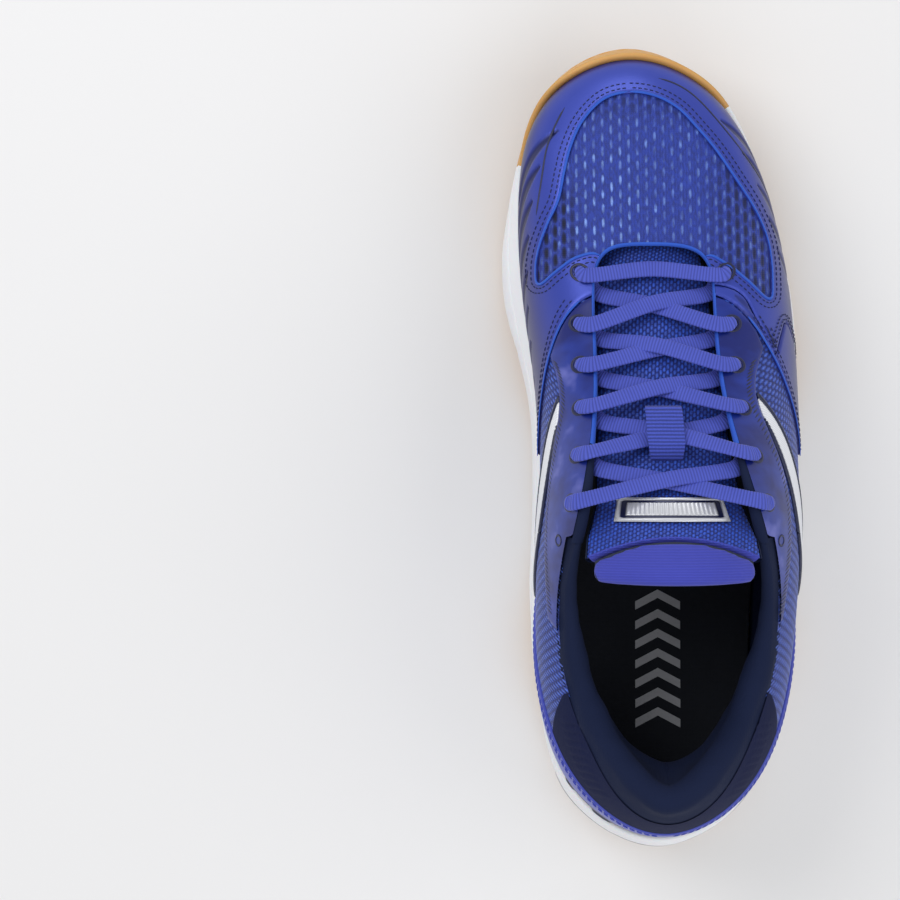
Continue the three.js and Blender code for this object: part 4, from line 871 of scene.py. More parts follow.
def collar_skin(us):
    """Rows of the padded collar: up the outside from the seam, over the edge, down the inside."""
    u = us[:, None]
    r = roll_at(u)
    n = last_normal(us, np.ones_like(us))[:, None, :]
    up = unit(last(us, 1.0) - last(us, 0.95))[:, None, :]
    centre = last_at(us, np.ones_like(us), -roll_at(us))[:, None, :]
    out_t = mix(seam_t(u) * 0.965, 1.0, np.linspace(0, 1, 14)[None, :])
    outside = last_at(u, out_t, np.zeros(out_t.shape))
    a = np.linspace(0, np.pi, 30)[1:-1][None, :, None]
    arc = centre + n * r[..., None] * np.cos(a) + up * r[..., None] * np.sin(a)
    in_t = np.linspace(1.0, 0.03, 46)[None, :] * top_t(u)
    in_t[:, 0] = 1.0
    inside = last_at(u, in_t, -pad_at(u, in_t))
    return np.concatenate([outside, arc, inside], 1)


collar_us = np.linspace(COLLAR_U + 0.012, RIB_COUNT - COLLAR_U - 0.012, 620)
skin = collar_skin(collar_us)
normals = unit(np.cross(np.gradient(skin, axis=0), np.gradient(skin, axis=1)))
soft = noise(skin, 26, 3) * 0.45 + noise(skin, 11, 4) * 0.14
soft = soft * smooth(0.0, 0.12, np.linspace(0, 1, skin.shape[1])[None, :])
facing_out = (normals * last_normal(collar_us, np.ones_like(collar_us))[:, None, :])[:, 5, :].sum(-1)
outward = np.sign(facing_out.mean())
skin = skin + normals * (outward * soft)[..., None]
collar = grid_object("collar_padding", skin, MATS["navy_cloth"], flip=outward < 0)
place(collar, "shoe", "navy_cloth", "collar_lining")

throat_us = np.linspace(-COLLAR_U - 0.06, COLLAR_U + 0.06, 420)
lining_t = np.linspace(0.03, 0.995, 60)
lining_d = np.broadcast_to(mix(-2.7, -1.2, smooth(0.5, 0.75, lining_t)), (len(throat_us), len(lining_t)))
lining = last_at(throat_us[:, None], lining_t[None, :], lining_d)
place(grid_object("vamp_lining_cloth", lining, MATS["navy_cloth"]), "shoe", "navy_cloth", "vamp_lining")

# binding of the throat's edge, fuller towards the collar
edge_a = np.linspace(0, np.pi, 9)[None, :, None]
n_edge = last_normal(throat_us, np.ones_like(throat_us))[:, None, :]
edge_top = last(throat_us, 1.0)
up_edge = unit(edge_top - last(throat_us, 0.95))[:, None, :]
swell = smooth(160, 122, edge_top[:, 1])
r_edge = mix(1.15, 2.3, swell)[:, None, None]
c_edge = last_at(throat_us, 0.995, mix(-0.3, -1.5, swell))[:, None, :]
binding = c_edge + r_edge * (n_edge * np.cos(edge_a) + up_edge * 0.9 * np.sin(edge_a))
front = np.nonzero(edge_top[:, 1] > 150)[0]
for name, rows, key in (("throat_binding", slice(front[0], front[-1] + 1), "edge_blue"),
                        ("collar_front_left", slice(0, front[0] + 1), "navy_cloth"),
                        ("collar_front_right", slice(front[-1], len(binding)), "navy_cloth")):
    place(grid_object(name, binding[rows], MATS[key], flip=True), "shoe", "navy_cloth")


# ------------------------------------------------------------------ tongue
TONGUE_PATH = np.array([[0, 226, 69], [0, 214, 74.2], [0, 196, 82.6], [0, 178, 91.6], [0, 160, 100.6],
                        [0, 144, 108.6], [0, 130, 117], [0, 118, 127.5], [0, 106, 136.5]], float)
TONGUE_HALF_WIDTH = np.array([17, 20, 21.5, 22.5, 23.5, 24.5, 26, 30, 31.5])
TONGUE_CENTRE = np.array([-3.5, -3.3, -2.6, -1.8, -1, 0, 1, 1.6, 2])
TONGUE_ARCH = 0.0145
TONGUE_THICK, TONGUE_SKIN = 4.2, 0.8
SEAM_K, SEAM_BOW = 0.875, 0.075
CUFF_THICK, CUFF_LENGTH, CUFF_RISE, CUFF_START = 9.0, 19.0, 2.8, 1.0


def path_point(k):
    p = TONGUE_PATH
    n = len(p)
    q = np.asarray(k, float) * (n - 1)
    i = np.clip(np.floor(q), 0, n - 2).astype(int)
    f = (q - i)[..., None]
    full = np.concatenate([[2 * p[0] - p[1]], p, [2 * p[-1] - p[-2]]])
    return catmull(full[i], full[i + 1], full[i + 2], full[i + 3], f)


def path_tangent(k):
    e = 1e-3
    return unit(path_point(np.minimum(k + e, 1)) - path_point(np.maximum(k - e, 0)))


def along(table, k):
    return np.interp(np.clip(k, 0, 1) * (len(table) - 1), np.arange(len(table)), table)


def tongue_at(k, v, d):
    """Point of the tongue: k along it from its foot, v across it from -1 to 1, d below its face."""
    k, v, d = np.broadcast_arrays(*[np.asarray(q, float) for q in (k, v, d)])
    x = v * along(TONGUE_HALF_WIDTH, k)
    slope = 2 * TONGUE_ARCH * x
    across = unit(np.stack([np.ones_like(x), np.zeros_like(x), -slope], -1))
    normal = unit(np.cross(path_tangent(k), across))
    normal = normal * np.where(normal[..., 2:] < 0, -1, 1)
    p = path_point(k)
    top = np.stack([along(TONGUE_CENTRE, k) + x, p[..., 1], p[..., 2] - TONGUE_ARCH * x * x], -1)
    return top - normal * d[..., None]


def seam_k(v):
    return SEAM_K + SEAM_BOW * v * v


def tongue_pad(k, v):
    """Thickness of the foam in the tongue."""
    return (0.45 + 0.55 * (1 - v ** 4)) * mix(1.6, TONGUE_THICK, smooth(0.02, 0.35, k))


share, vv = np.meshgrid(np.linspace(0, 1, 300), np.linspace(-1, 1, 150), indexing="ij")
kk = share * seam_k(vv)
flat_x = vv * along(TONGUE_HALF_WIDTH, kk)
flat_y = kk * 170.0
yarn = dash_knit(flat_x + 0.1 * flat_y, flat_y, 2.6, 2.6, 0.4, 0.18)
rim_soft = np.sqrt(np.clip(1 - np.abs(vv) ** 14, 0, 1))
face = tongue_at(kk, vv, 0.25 - 0.16 * yarn - 0.5 * (rim_soft - 1))
tongue = grid_object("tongue_knit", face, MATS["tongue"], flip=True, attrs={"yarn": yarn})
place(tongue, "shoe", "blue_mesh", "tongue_face")
pad = 2 * TONGUE_SKIN + 2 * GAP + tongue_pad(kk, vv)
back = tongue_at(kk, vv, pad)[::4, ::4]
place(grid_object("tongue_back_cloth", back, MATS["back"]), "shoe", "navy_cloth", "tongue_back")
for number, v in enumerate((-1.0, 1.0)):
    ks = np.linspace(0, seam_k(v), 120)
    low = 2 * TONGUE_SKIN + 2 * GAP + tongue_pad(ks, np.full_like(ks, v))
    a = np.linspace(0, np.pi, 9)[None, :, None]
    mid = tongue_at(ks, v, low / 2)[:, None, :]
    arm = tongue_at(ks, v, 0.3)[:, None, :] - mid
    rows = mid + arm * np.cos(a) + unit(np.array([v, 0, -0.5])) * 1.3 * np.sin(a)
    edge = grid_object("tongue_edge_%d" % number, rows, MATS["navy_cloth"], flip=number == 0)
    place(edge, "shoe", "navy_cloth")

# rolled seam between the tongue and its padded end
seam_v = np.linspace(-0.98, 0.98, 120)
seam_mid = tongue_at(seam_k(seam_v) - 0.004, seam_v, 2.1)
seam_dir = unit(np.gradient(seam_mid, axis=0))
seam_up = unit(tongue_at(seam_k(seam_v), seam_v, 0) - tongue_at(seam_k(seam_v), seam_v, 1))
seam_out = np.cross(seam_dir, seam_up)
q = np.linspace(0, 2 * np.pi, 19)[:-1][None, :, None]
seam_tube = (seam_mid[:, None, :] + seam_up[:, None, :] * 2.1 * np.sin(q)
             + seam_out[:, None, :] * 0.75 * np.cos(q))
place(grid_object("tongue_seam_roll", seam_tube, MATS["cuff"], closed_cols=True, flip=True), "shoe",
      "navy_cloth")

# loop that holds the lace, of ribbed webbing
LOOP_K0, LOOP_K1, LOOP_HALF, LOOP_HEIGHT = 0.4725, 0.617, 5.5, 6.9
s = np.linspace(0, 1, 90)[:, None]
w = np.linspace(-1, 1, 45)[None, :]
k_loop = mix(LOOP_K0, LOOP_K1, s) + 0 * w
rise = GAP + (LOOP_HEIGHT - GAP) * (1 - np.abs(2 * s - 1) ** 6) + 0 * w
v_loop = w * LOOP_HALF / along(TONGUE_HALF_WIDTH, k_loop)
rib = 0.13 * np.cos(2 * np.pi * w * LOOP_HALF / 1.1)
outer_side = tongue_at(k_loop, v_loop, -rise - 1.0 - rib)
inner_side = tongue_at(k_loop, v_loop, -rise)
ring = np.concatenate([outer_side, inner_side[:, ::-1]], 1)
place(grid_object("lace_loop_webbing", ring, MATS["loop"], closed_cols=True, flip=True), "shoe", "blue_cloth",
      "tongue_lace_loop")

# blank badge: a plate with a raised bright rim and a barred field
BADGE_K0, BADGE_K1, BADGE_V, BADGE_THICK = 0.735, 0.82, 0.72, 1.0
BADGE_CORNER = 3.0
bk, bv = np.meshgrid(np.linspace(0, 1, 70), np.linspace(-1, 1, 150), indexing="ij")
ex = (np.abs(bv) - 1) * 18.0 + BADGE_CORNER
ey = (np.abs(2 * bk - 1) - 1) * 7.0 + BADGE_CORNER
rounded = np.hypot(np.clip(ex, 0, 9), np.clip(ey, 0, 9))
from_rim = BADGE_CORNER - np.where((ex > 0) & (ey > 0), rounded, np.maximum(ex, ey))
lift = GAP + 0.25 + BADGE_THICK * (0.25 + 0.75 * smooth(0, 0.5, from_rim) - 0.45 * smooth(1.5, 1.9, from_rim))
bars = smooth(0.82, 0.78, np.abs(bv)) * smooth(0.58, 0.5, np.abs(2 * bk - 1))
lift += 0.5 * bars + 0.1 * bars * np.cos(2 * np.pi * bv * 13)
plate = grid_object("tongue_badge_plate", tongue_at(mix(BADGE_K0, BADGE_K1, bk), bv * BADGE_V, -lift),
                    MATS["badge"], flip=True, attrs={"ground": smooth(1.5, 1.9, from_rim) * (1 - bars)})
place(plate, "shoe", "silver_badge", "tongue_badge")


# padded end of the tongue: a closed body that the cloth solver fills out
def cuff_ring(v, inset, start):
    k = seam_k(v)
    forward = path_tangent(np.array(k))
    w = 1 - 0.4 * abs(v) ** 3
    a = tongue_at(k, v, CUFF_THICK * 0.42) + forward * start
    normal = unit(tongue_at(k, v, 0) - tongue_at(k, v, 1))
    half = CUFF_THICK * 0.5 * w - inset
    reach = CUFF_LENGTH * (1 - 0.55 * v * v) - start - CUFF_THICK * 0.5 * w
    bend = lambda q: a + forward * q + normal * CUFF_RISE * (q / CUFF_LENGTH) ** 2
    upper = [bend(q) + normal * half for q in np.linspace(0, reach, 9)]
    nose = [bend(reach) + normal * half * np.cos(q) + forward * half * np.sin(q)
            for q in np.linspace(0, np.pi, 14)[1:-1]]
    lower = [bend(q) - normal * half for q in np.linspace(reach, 0, 9)]
    return np.array(upper + nose + lower)


def cuff_body(inset):
    """Points and faces of the tongue's end: rings across it, drawn together and closed at both sides."""
    ring = lambda v: cuff_ring(v, inset, CUFF_START + inset * 0.4)
    drawn = lambda v: ring(v).mean(0) + (ring(v) - ring(v).mean(0)) * 0.55
    rows = np.array([drawn(-0.995)] + [ring(v) for v in np.linspace(-0.97, 0.97, 46)] + [drawn(0.995)])
    n, m = rows.shape[:2]
    verts = np.concatenate([rows.reshape(-1, 3), rows[:1].mean(1), rows[-1:].mean(1)])
    j = np.arange(m)
    first_cap = np.stack([np.full(m, n * m), (j + 1) % m, j], -1)
    last_cap = np.stack([np.full(m, n * m + 1), (n - 1) * m + j, (n - 1) * m + (j + 1) % m], -1)
    return verts, [grid_faces(n, m, False, True), first_cap, last_cap]


def puff(obj, voxel, pressure, cap, frames=20):
    """Remesh, swell with the cloth solver, cap how far each point went, and add one subdivision."""
    bpy.context.view_layer.objects.active = obj
    obj.select_set(True)
    remesh = obj.modifiers.new("remesh", "REMESH")
    remesh.mode = "VOXEL"
    remesh.voxel_size = voxel
    bpy.ops.object.modifier_apply(modifier=remesh.name)
    count = len(obj.data.vertices)
    rest = np.empty(count * 3)
    obj.data.vertices.foreach_get("co", rest)
    cloth = obj.modifiers.new("cloth", "CLOTH")
    cloth.settings.quality = 5
    cloth.settings.use_pressure = True
    cloth.settings.uniform_pressure_force = pressure
    cloth.settings.effector_weights.gravity = 0
    cloth.settings.tension_stiffness = 20
    cloth.settings.compression_stiffness = 20
    cloth.settings.bending_stiffness = 4
    cloth.point_cache.frame_end = frames
    for frame_number in range(1, frames + 1):
        bpy.context.scene.frame_set(frame_number)
    bpy.ops.object.modifier_apply(modifier=cloth.name)
    moved = np.empty(count * 3)
    obj.data.vertices.foreach_get("co", moved)
    shift = (moved - rest).reshape(-1, 3)
    far = np.linalg.norm(shift, axis=1, keepdims=True)
    shift = shift * np.minimum(1, cap / np.maximum(far, 1e-9))
    obj.data.vertices.foreach_set("co", (rest.reshape(-1, 3) + shift).ravel())
    bpy.context.scene.frame_set(1)
    smooth_mod = obj.modifiers.new("smooth", "SMOOTH")
    smooth_mod.iterations = 14
    bpy.ops.object.modifier_apply(modifier=smooth_mod.name)
    sub = obj.modifiers.new("subdivide", "SUBSURF")
    sub.levels = sub.render_levels = 1
    bpy.ops.object.modifier_apply(modifier=sub.name)
    obj.data.polygons.foreach_set("use_smooth", np.ones(len(obj.data.polygons), bool))
    obj.select_set(False)


cuff = mesh_object("tongue_cuff_cloth", *cuff_body(0.15), MATS["cuff"])
puff(cuff, 0.0017, 4.0, 0.0012)
place(cuff, "tongue_end", "blue_cloth", "tongue_cuff")


# ------------------------------------------------------------------ sole
def outline_at(u):
    """The sole's outline seen from above, at rib number u."""
    u = np.mod(u, RIB_COUNT)
    i = np.floor(u).astype(int)
    pick = lambda j: SOLE_OUTLINE[j % len(SOLE_OUTLINE)]
    return catmull(pick(i - 1), pick(i), pick(i + 1), pick(i + 2), (u - i)[..., None])


def tread_z(y):
    """Height of the tread's underside above the floor."""
    toe = np.where(y > BALL_Y, 0.0241 * np.clip(y - BALL_Y, 0, None) ** 1.5, 0)
    heel = np.where(y < HEEL_BEVEL_Y, 0.055 * np.clip(HEEL_BEVEL_Y - y, 0, None) ** 1.55, 0)
    arch = np.where((y > 100) & (y < 128), 1.2 * np.sin((y - 100) / 28 * np.pi) ** 2, 0)
    return toe + heel + arch


def upper_at_height(u, z, d):
    """Point at distance d outside the upper and at height z."""
    lo, hi = np.zeros_like(u), np.full_like(u, 0.8)
    for _ in range(22):
        t = (lo + hi) / 2
        below = last_at(u, t, np.full_like(u, d))[..., 2] < z
        lo, hi = np.where(below, t, lo), np.where(below, hi, t)
    return last_at(u, lo, np.full_like(u, d))


wall_us = np.linspace(0, RIB_COUNT, 1101)[:-1]
rim_z = along_side(RIM_Z, wall_us)
rim_line = upper_at_height(wall_us, rim_z, 1.2 + GAP + SOLE_LIP)
rim_inner = upper_at_height(wall_us, rim_z - 0.6, 1.05)
out_line = outline_at(wall_us)
tangent = unit(outline_at(wall_us + 0.05) - outline_at(wall_us - 0.05))
inward = np.stack([-tangent[:, 1], tangent[:, 0]], -1)
to_centre = np.stack([-out_line[:, 0], np.zeros(len(out_line))], -1)
wrong = ((inward * to_centre).sum(-1) < 0) & (np.abs(out_line[:, 0]) > 15)
inward[wrong] *= -1
near_ends = np.abs(out_line[:, 0]) <= 15
inward[near_ends] = np.stack([np.zeros(near_ends.sum()), np.where(out_line[near_ends, 1] > 100, -1, 1)], -1)
edge_xy = out_line + inward * (5 + 9 * smooth(2.2, 0, from_heel(wall_us)))[:, None]
edge_line = np.concatenate([edge_xy, (tread_z(edge_xy[:, 1]) + 0.7)[:, None]], 1)
bulge = (out_line - 0.125 * (rim_line[:, :2] + edge_line[:, :2])) / 0.75
high = np.concatenate([bulge, mix(edge_line[:, 2], rim_z, 0.62)[:, None]], 1)
low = np.concatenate([bulge, mix(edge_line[:, 2], rim_z, 0.12)[:, None]], 1)


def wall(i, s):
    """Wall point for row numbers i (may be fractional) and s from the rim, 0, to the tread's edge, 1."""
    n = len(wall_us)
    i0 = np.floor(i).astype(int)
    f = (i - i0)[..., None]
    pick = lambda table: mix(table[i0 % n], table[(i0 + 1) % n], f)
    s = s[..., None]
    return (pick(rim_line) * (1 - s) ** 3 + pick(high) * 3 * s * (1 - s) ** 2
            + pick(low) * 3 * s * s * (1 - s) + pick(edge_line) * s ** 3)


def wall_normal(i, s):
    di = wall(i + 1.5, s) - wall(i - 1.5, s)
    ds = wall(i, np.minimum(s + 0.01, 1)) - wall(i, np.maximum(s - 0.01, 0))
    return unit(np.cross(di, ds))


def gum_line(y):
    return np.interp(y, GUM_EDGE[:, 0], GUM_EDGE[:, 1])


wall_s = np.linspace(0, 1, 111)
wall_rows = np.arange(len(wall_us), dtype=float)
ii, ss = np.meshgrid(wall_rows, wall_s, indexing="ij")
base_wall = wall(ii, ss)
n_wall = wall_normal(ii, ss)
facing = np.sign((n_wall[..., :2] * (base_wall[..., :2] - [0, 150])).sum(-1).mean())
n_wall *= facing
out_y = out_line[:, 1][:, None] + 0 * ss
gum_toe_y = np.where(out_line[:, 0] < 0, GUM_TOE_Y["inner"], GUM_TOE_Y["outer"])
gum_top = np.where(out_y > gum_toe_y[:, None], rim_z[:, None] + 3, gum_line(out_y))
in_gum = gum_top - base_wall[..., 2]


def wall_piece(name, field, material, detail, lift, low):
    """A part of the sole's wall, cut out where field is positive, raised by lift and detail."""
    u, s, f, quads, tris, cuts = clip_grid(wall_us, wall_s, field, True)
    u = u / (RIB_COUNT / len(wall_us))
    base = wall(u, s)
    rise = lift * (0.3 + 0.7 * smooth(0, 0.7, f)) + detail(base, u, s, f)
    return skirted(name, base, wall_normal(u, s) * facing, rise, low, [quads, tris], cuts, facing < 0,
                   material, {})


def below_rim(u, z):
    """How far a wall point at height z is below the sole's rim."""
    return np.interp(u, wall_rows, rim_z) - z


def midsole_detail(p, u, s, f):
    """Fields of slanted hatching, a groove below the rim and a long crease."""
    y, z = p[:, 1], p[:, 2]
    above = z - gum_line(y)
    hatch = (np.abs(np.sin(np.pi * (y * 0.8 + z * 1.1) / 1.7)) - 0.5) * 0.22
    front = smooth(128, 140, y) * smooth(268, 250, y) * smooth(11.5, 10, above) * smooth(1.2, 2.2, above)
    heel = smooth(22, 30, y) * smooth(128, 112, y) * smooth(24, 22, z) * smooth(13.5, 15, z)
    groove = -0.55 * smooth(0.7, 0.25, np.abs(below_rim(u, z) - 6.2))
    crease_z = 31 - 0.11 * np.abs(y - 60)
    crease = -0.5 * smooth(1.0, 0.3, np.abs(z - crease_z)) * smooth(6, 20, y) * smooth(150, 120, y)
    return hatch * (front + heel) + groove + crease + 0.1 * noise(p, 30, 6)


def gum_detail(p, u, s, f):
    """Rows of round pits on the toe, and a row of windows along the heel's sides."""
    y, z = p[:, 1], p[:, 2]
    steps = np.linalg.norm(np.diff(out_line, axis=0), axis=1)
    arc = np.interp(u, wall_rows, np.r_[0, np.cumsum(steps)])
    pit_x = np.mod(arc / 6.4 + 0.5 * np.mod(np.floor(z / 5.0), 2), 1) * 6.4 - 3.2
    pit_z = np.mod(z, 5.0) - 2.5
    toe = smooth(252, 262, y) * smooth(3.4, 4.4, f) * smooth(0.0, 2.5, below_rim(u, z) - 3)
    pits = 0.75 * toe * smooth(2.1, 1.3, np.hypot(pit_x * 0.9, pit_z * 1.15))
    bar = np.mod(y, 9.6)
    window = smooth(0.9, 1.5, bar) * smooth(7.9, 7.3, bar) * smooth(1.6, 2.2, z - tread_z(y))
    window = window * smooth(1.3, 1.9, f)
    return -pits - 0.7 * window * smooth(18, 22, y) * smooth(104, 100, y)


place(wall_piece("midsole_wall", -in_gum - 0.05, MATS["white"], midsole_detail, 0.35, -1.5), "shoe",
      "white_foam", "midsole")
place(wall_piece("gum_wall", in_gum - 0.05, MATS["gum"], gum_detail, 0.35, -1.5), "shoe", "gum_rubber",
      "outsole")

# rounded lip on top of the wall, down to the upper
LIP_ROWS = 9
a = np.linspace(0, 1, LIP_ROWS)[None, :, None]
rim_out = rim_line + n_wall[:, 0] * 0.4
lip = mix(rim_out[:, None, :], rim_inner[:, None, :], a)
lip[..., 2] += 0.9 * np.sin(np.pi * a[..., 0]) ** 0.7
lip = np.concatenate([(base_wall[:, 2] + n_wall[:, 2] * 0.2)[:, None, :], lip], 1)
lip_faces = grid_faces(len(wall_us), LIP_ROWS + 1, True, False, facing > 0)
at_toe = (out_line[:, 1] > gum_toe_y)[lip_faces[:, 0] // (LIP_ROWS + 1)]
for name, part, key, slot_name in (("midsole_lip", ~at_toe, "white", "white_foam"),
                                   ("gum_lip", at_toe, "gum", "gum_rubber")):
    place(mesh_object(name, lip.reshape(-1, 3), [lip_faces[part]], MATS[key]), "shoe", slot_name)


# tread under the foot: herringbone blocks
def centre_x(y):
    return 1.5 - 6.5 * smooth(60, 260, y)


def tread_pattern(x, y):
    zig = np.abs(np.mod(x / 11.0, 2) - 1) * 6.0
    stripe = np.mod(y + zig, 5.2) / 5.2
    return smooth(0.0, 0.1, stripe) * smooth(0.62, 0.52, stripe)


def spine_y(y):
    """y kept far enough from both ends for the middle of the sole."""
    return np.clip(y, y.min() + 26, y.max() - 40)


middle_y = spine_y(edge_line[:, 1])
spine = np.stack([centre_x(middle_y), middle_y, tread_z(middle_y)], -1)
q = np.linspace(0, 1, 150)[None, :, None]
under = mix(edge_line[:, None, :], spine[:, None, :], q)
flat = tread_z(under[..., 1])
cut_away = 1.3 * (1 - tread_pattern(under[..., 0], under[..., 1])) * smooth(0.04, 0.08, q[..., 0])
waist = smooth(96, 100, under[..., 1]) * smooth(134, 130, under[..., 1])
under[..., 2] = mix(flat + 0.7, flat, smooth(0.0, 0.05, q[..., 0])) + cut_away * (1 - waist)
place(grid_object("gum_tread", under, MATS["gum"], flip=facing > 0, closed_rows=True), "shoe", "gum_rubber")

# silver strip round the heel
plain = lambda p, u, s, f: 0 * f
in_strip = sdf(base_wall[..., SIDE], STRIP_SIDE)
strip = wall_piece("heel_strip_film", in_strip, MATS["silver"], plain, 0.55, -0.3)
place(strip, "shoe", "silver_film", "heel_strip")


# ------------------------------------------------------------------ insole
def board_height(y):
    """Height of the middle of the last's underside at y."""
    q = np.linspace(0, HEEL, 400)
    mids = (last(q, 0 * q) + last(RIB_COUNT - q, 0 * q)) / 2
    order = np.argsort(mids[:, 1])
    return np.interp(y, mids[order, 1], mids[order, 2])


def foot_plate(inset, height, count=60):
    """Rows from the last's lower edge to its middle, at a height above its underside."""
    us = np.linspace(0, RIB_COUNT, 501)[:-1]
    foot = last(us, np.zeros_like(us))
    ys = spine_y(foot[:, 1])
    mid = np.stack([centre_x(ys), ys, board_height(ys)], -1)
    rim = foot + unit((mid - foot) * [1, 1, 0]) * inset
    rows = mix(rim[:, None, :], mid[:, None, :], np.linspace(0, 1, count)[None, :, None])
    rows[..., 2] += height
    return rows


COVER_TOP = 0.3 + 1.4 + 0.3 + 4.4 + 0.3 + 0.8        # board, foam and cover, each with its gap
plate_rows = foot_plate(1.8, COVER_TOP)
plate_rows[..., 2] += 0.14 * (np.abs(np.sin(np.pi * plate_rows[..., 0] / 1.25)) - 0.5)
skirt = plate_rows[:, :1, :] - [0, 0, 1.0]
cover = grid_object("insole_cloth", np.concatenate([skirt, plate_rows], 1), MATS["black"], closed_rows=True)
place(cover, "insole", "black_cloth", "sockliner_cover")


def chevron(y):
    """Points and faces of one printed chevron, 3.2 mm wide."""
    near_line = resample([[-7, y], [1.5, y + 4.5], [10, y]], 0.8)
    pairs = np.stack([near_line, near_line + [0, 3.2]], 1)
    z = board_height(pairs[..., 1]) + COVER_TOP + 0.12
    return np.concatenate([pairs, z[..., None]], -1).reshape(-1, 3), grid_faces(len(pairs), 2, flip=True)


verts, faces = joined([chevron(44 + 7.4 * k) for k in range(7)])
place(mesh_object("insole_print", verts, faces, MATS["print"]), "insole", "black_cloth")


# ------------------------------------------------------------------ lines on the upper
SEED_U, SEED_T = np.meshgrid(np.linspace(0, RIB_COUNT, 301)[:-1], np.linspace(0.04, 1, 49), indexing="ij")
SEED_P, SEED_N = last(SEED_U, SEED_T), last_normal(SEED_U, SEED_T)


def locate(points, axes, side=0):
    """u and t of the upper where its points, seen along the other axis, are the given 2-D points."""
    axes = list(axes)
    if side:
        mask = (np.sign(HEEL - SEED_U) == side) & (SEED_U > 0.05) & (np.abs(SEED_N[..., 0]) > 0.15)
    else:
        mask = SEED_N[..., 2] > 0.12
    us, ts, ps = SEED_U[mask], SEED_T[mask], SEED_P[mask][:, axes]
    u, t = np.empty(len(points)), np.empty(len(points))
    for start in range(0, len(points), 500):
        part = points[start:start + 500]
        best = ((part[:, None, :] - ps[None]) ** 2).sum(-1).argmin(1)
        u[start:start + 500], t[start:start + 500] = us[best], ts[best]
    e = 1e-3
    for _ in range(5):
        miss = points - last(u, t)[:, axes]
        du = (last(u + e, t) - last(u - e, t))[:, axes] / (2 * e)
        dt = (last(u, t + e) - last(u, t - e))[:, axes] / (2 * e)
        det = du[:, 0] * dt[:, 1] - du[:, 1] * dt[:, 0]
        det = np.where(np.abs(det) < 1e-3, 1e-3, det)
        u = u + np.clip((miss[:, 0] * dt[:, 1] - miss[:, 1] * dt[:, 0]) / det, -0.3, 0.3)
        t = t + np.clip((du[:, 0] * miss[:, 1] - du[:, 1] * miss[:, 0]) / det, -0.05, 0.05)
        t = np.clip(t, 0.02, 1.0)
    miss = np.linalg.norm(points - last(u, t)[:, axes], axis=1)
    return u, t, miss < 0.6


class Line:
    """A line on the upper, measured along its true length."""

    def __init__(self, u, t, calm=0):
        if calm and len(u) > 4:
            weight = np.hanning(2 * calm + 3)[1:-1]
            weight /= weight.sum()
            padded = [np.pad(v, calm, mode="reflect", reflect_type="odd") for v in (u, t)]
            u, t = [np.convolve(v, weight, "valid") for v in padded]
        self.u, self.t = u, t
        p = last(self.u, self.t)
        self.s = np.r_[0, np.cumsum(np.linalg.norm(np.diff(p, axis=0), axis=1))]

    def at(self, s, d):
        u, t = np.interp(s, self.s, self.u), np.interp(s, self.s, self.t)
        return last_at(u, t, np.broadcast_to(d, u.shape)), last_normal(u, t)


def lines_on(points, axes, side=0, calm=2):
    """The unbroken stretches of a 2-D line that lie on the upper."""
    line = resample(points, 0.7)
    u, t, good = locate(line, axes, side)
    u, t = u[good], t[good]
    wrap = np.unwrap(u * 2 * np.pi / RIB_COUNT) * RIB_COUNT / (2 * np.pi)
    jump = np.linalg.norm(np.diff(last(wrap, t), axis=0), axis=1) > 5.0
    runs = np.split(np.arange(len(u)), np.nonzero(jump)[0] + 1)
    return [Line(wrap[run], t[run], calm) for run in runs if len(run) > 2 * calm + 4]


def stitches(lines, height, pitch=2.1, length=1.4, radius=0.24):
    """Parts for joined(): a row of capsules along each line."""
    parts = []
    along_s = np.array([0, 0.12, 0.35, 0.65, 0.88, 1.0])
    fat = np.array([0.25, 0.8, 1.0, 1.0, 0.8, 0.25])[None, :, None, None]
    ring = np.linspace(0, 2 * np.pi, 7)[:-1][None, None, :, None]
    for line in lines:
        starts = np.arange(0.5, line.s[-1] - length, pitch)
        s = (starts[:, None] + along_s[None, :] * length)
        p, n = [v.reshape(*s.shape, 3) for v in line.at(s.ravel(), float(height))]
        b = unit(np.cross(n, unit(p[:, -1:] - p[:, :1])))
        p, n, b = p[:, :, None, :], n[:, :, None, :], b[:, :, None, :]
        loop = p + radius * fat * (n * np.sin(ring) * 0.8 + b * np.cos(ring)) + n * 0.1
        parts += [(capsule.reshape(-1, 3), grid_faces(*loop.shape[1:3], False, True)) for capsule in loop]
    return parts


def ribbons(lines, width, height, lift=0.07):
    """Parts for joined(): a flat raised strip along each line, tapered at its ends."""
    parts = []
    for line in lines:
        s = np.arange(0, line.s[-1], 0.8)
        p, n = line.at(s, height)
        b = unit(np.cross(n, unit(np.gradient(p, axis=0))))
        taper = np.minimum(1, np.minimum(s + 0.3, line.s[-1] - s + 0.3) / 3.0)[:, None]
        left, right = p - b * width / 2 * taper, p + b * width / 2 * taper
        rows = np.stack([left - n * 0.1, left + n * lift, right + n * lift, right - n * 0.1], 1)
        parts.append((rows.reshape(-1, 3), grid_faces(len(s), 4)))
    return parts


def outward_of(line, d):
    """An outline moved outwards, closed."""
    closed = np.concatenate([line, line[:1]])
    area = (line[:, 0] * np.roll(line[:, 1], -1) - np.roll(line[:, 0], -1) * line[:, 1]).sum()
    return offset_line(closed, -d if area > 0 else d)


def offset_lines(line, distances, *where):
    """The stretches on the upper of a line moved sideways by each of the distances."""
    return sum([lines_on(offset_line(line, d), *where) for d in distances], [])


def marking(name, parts, key, slot_name):
    """Place many small parts on the shoe as one piece."""
    place(mesh_object(name, *joined(parts), MATS[key]), "shoe", slot_name)


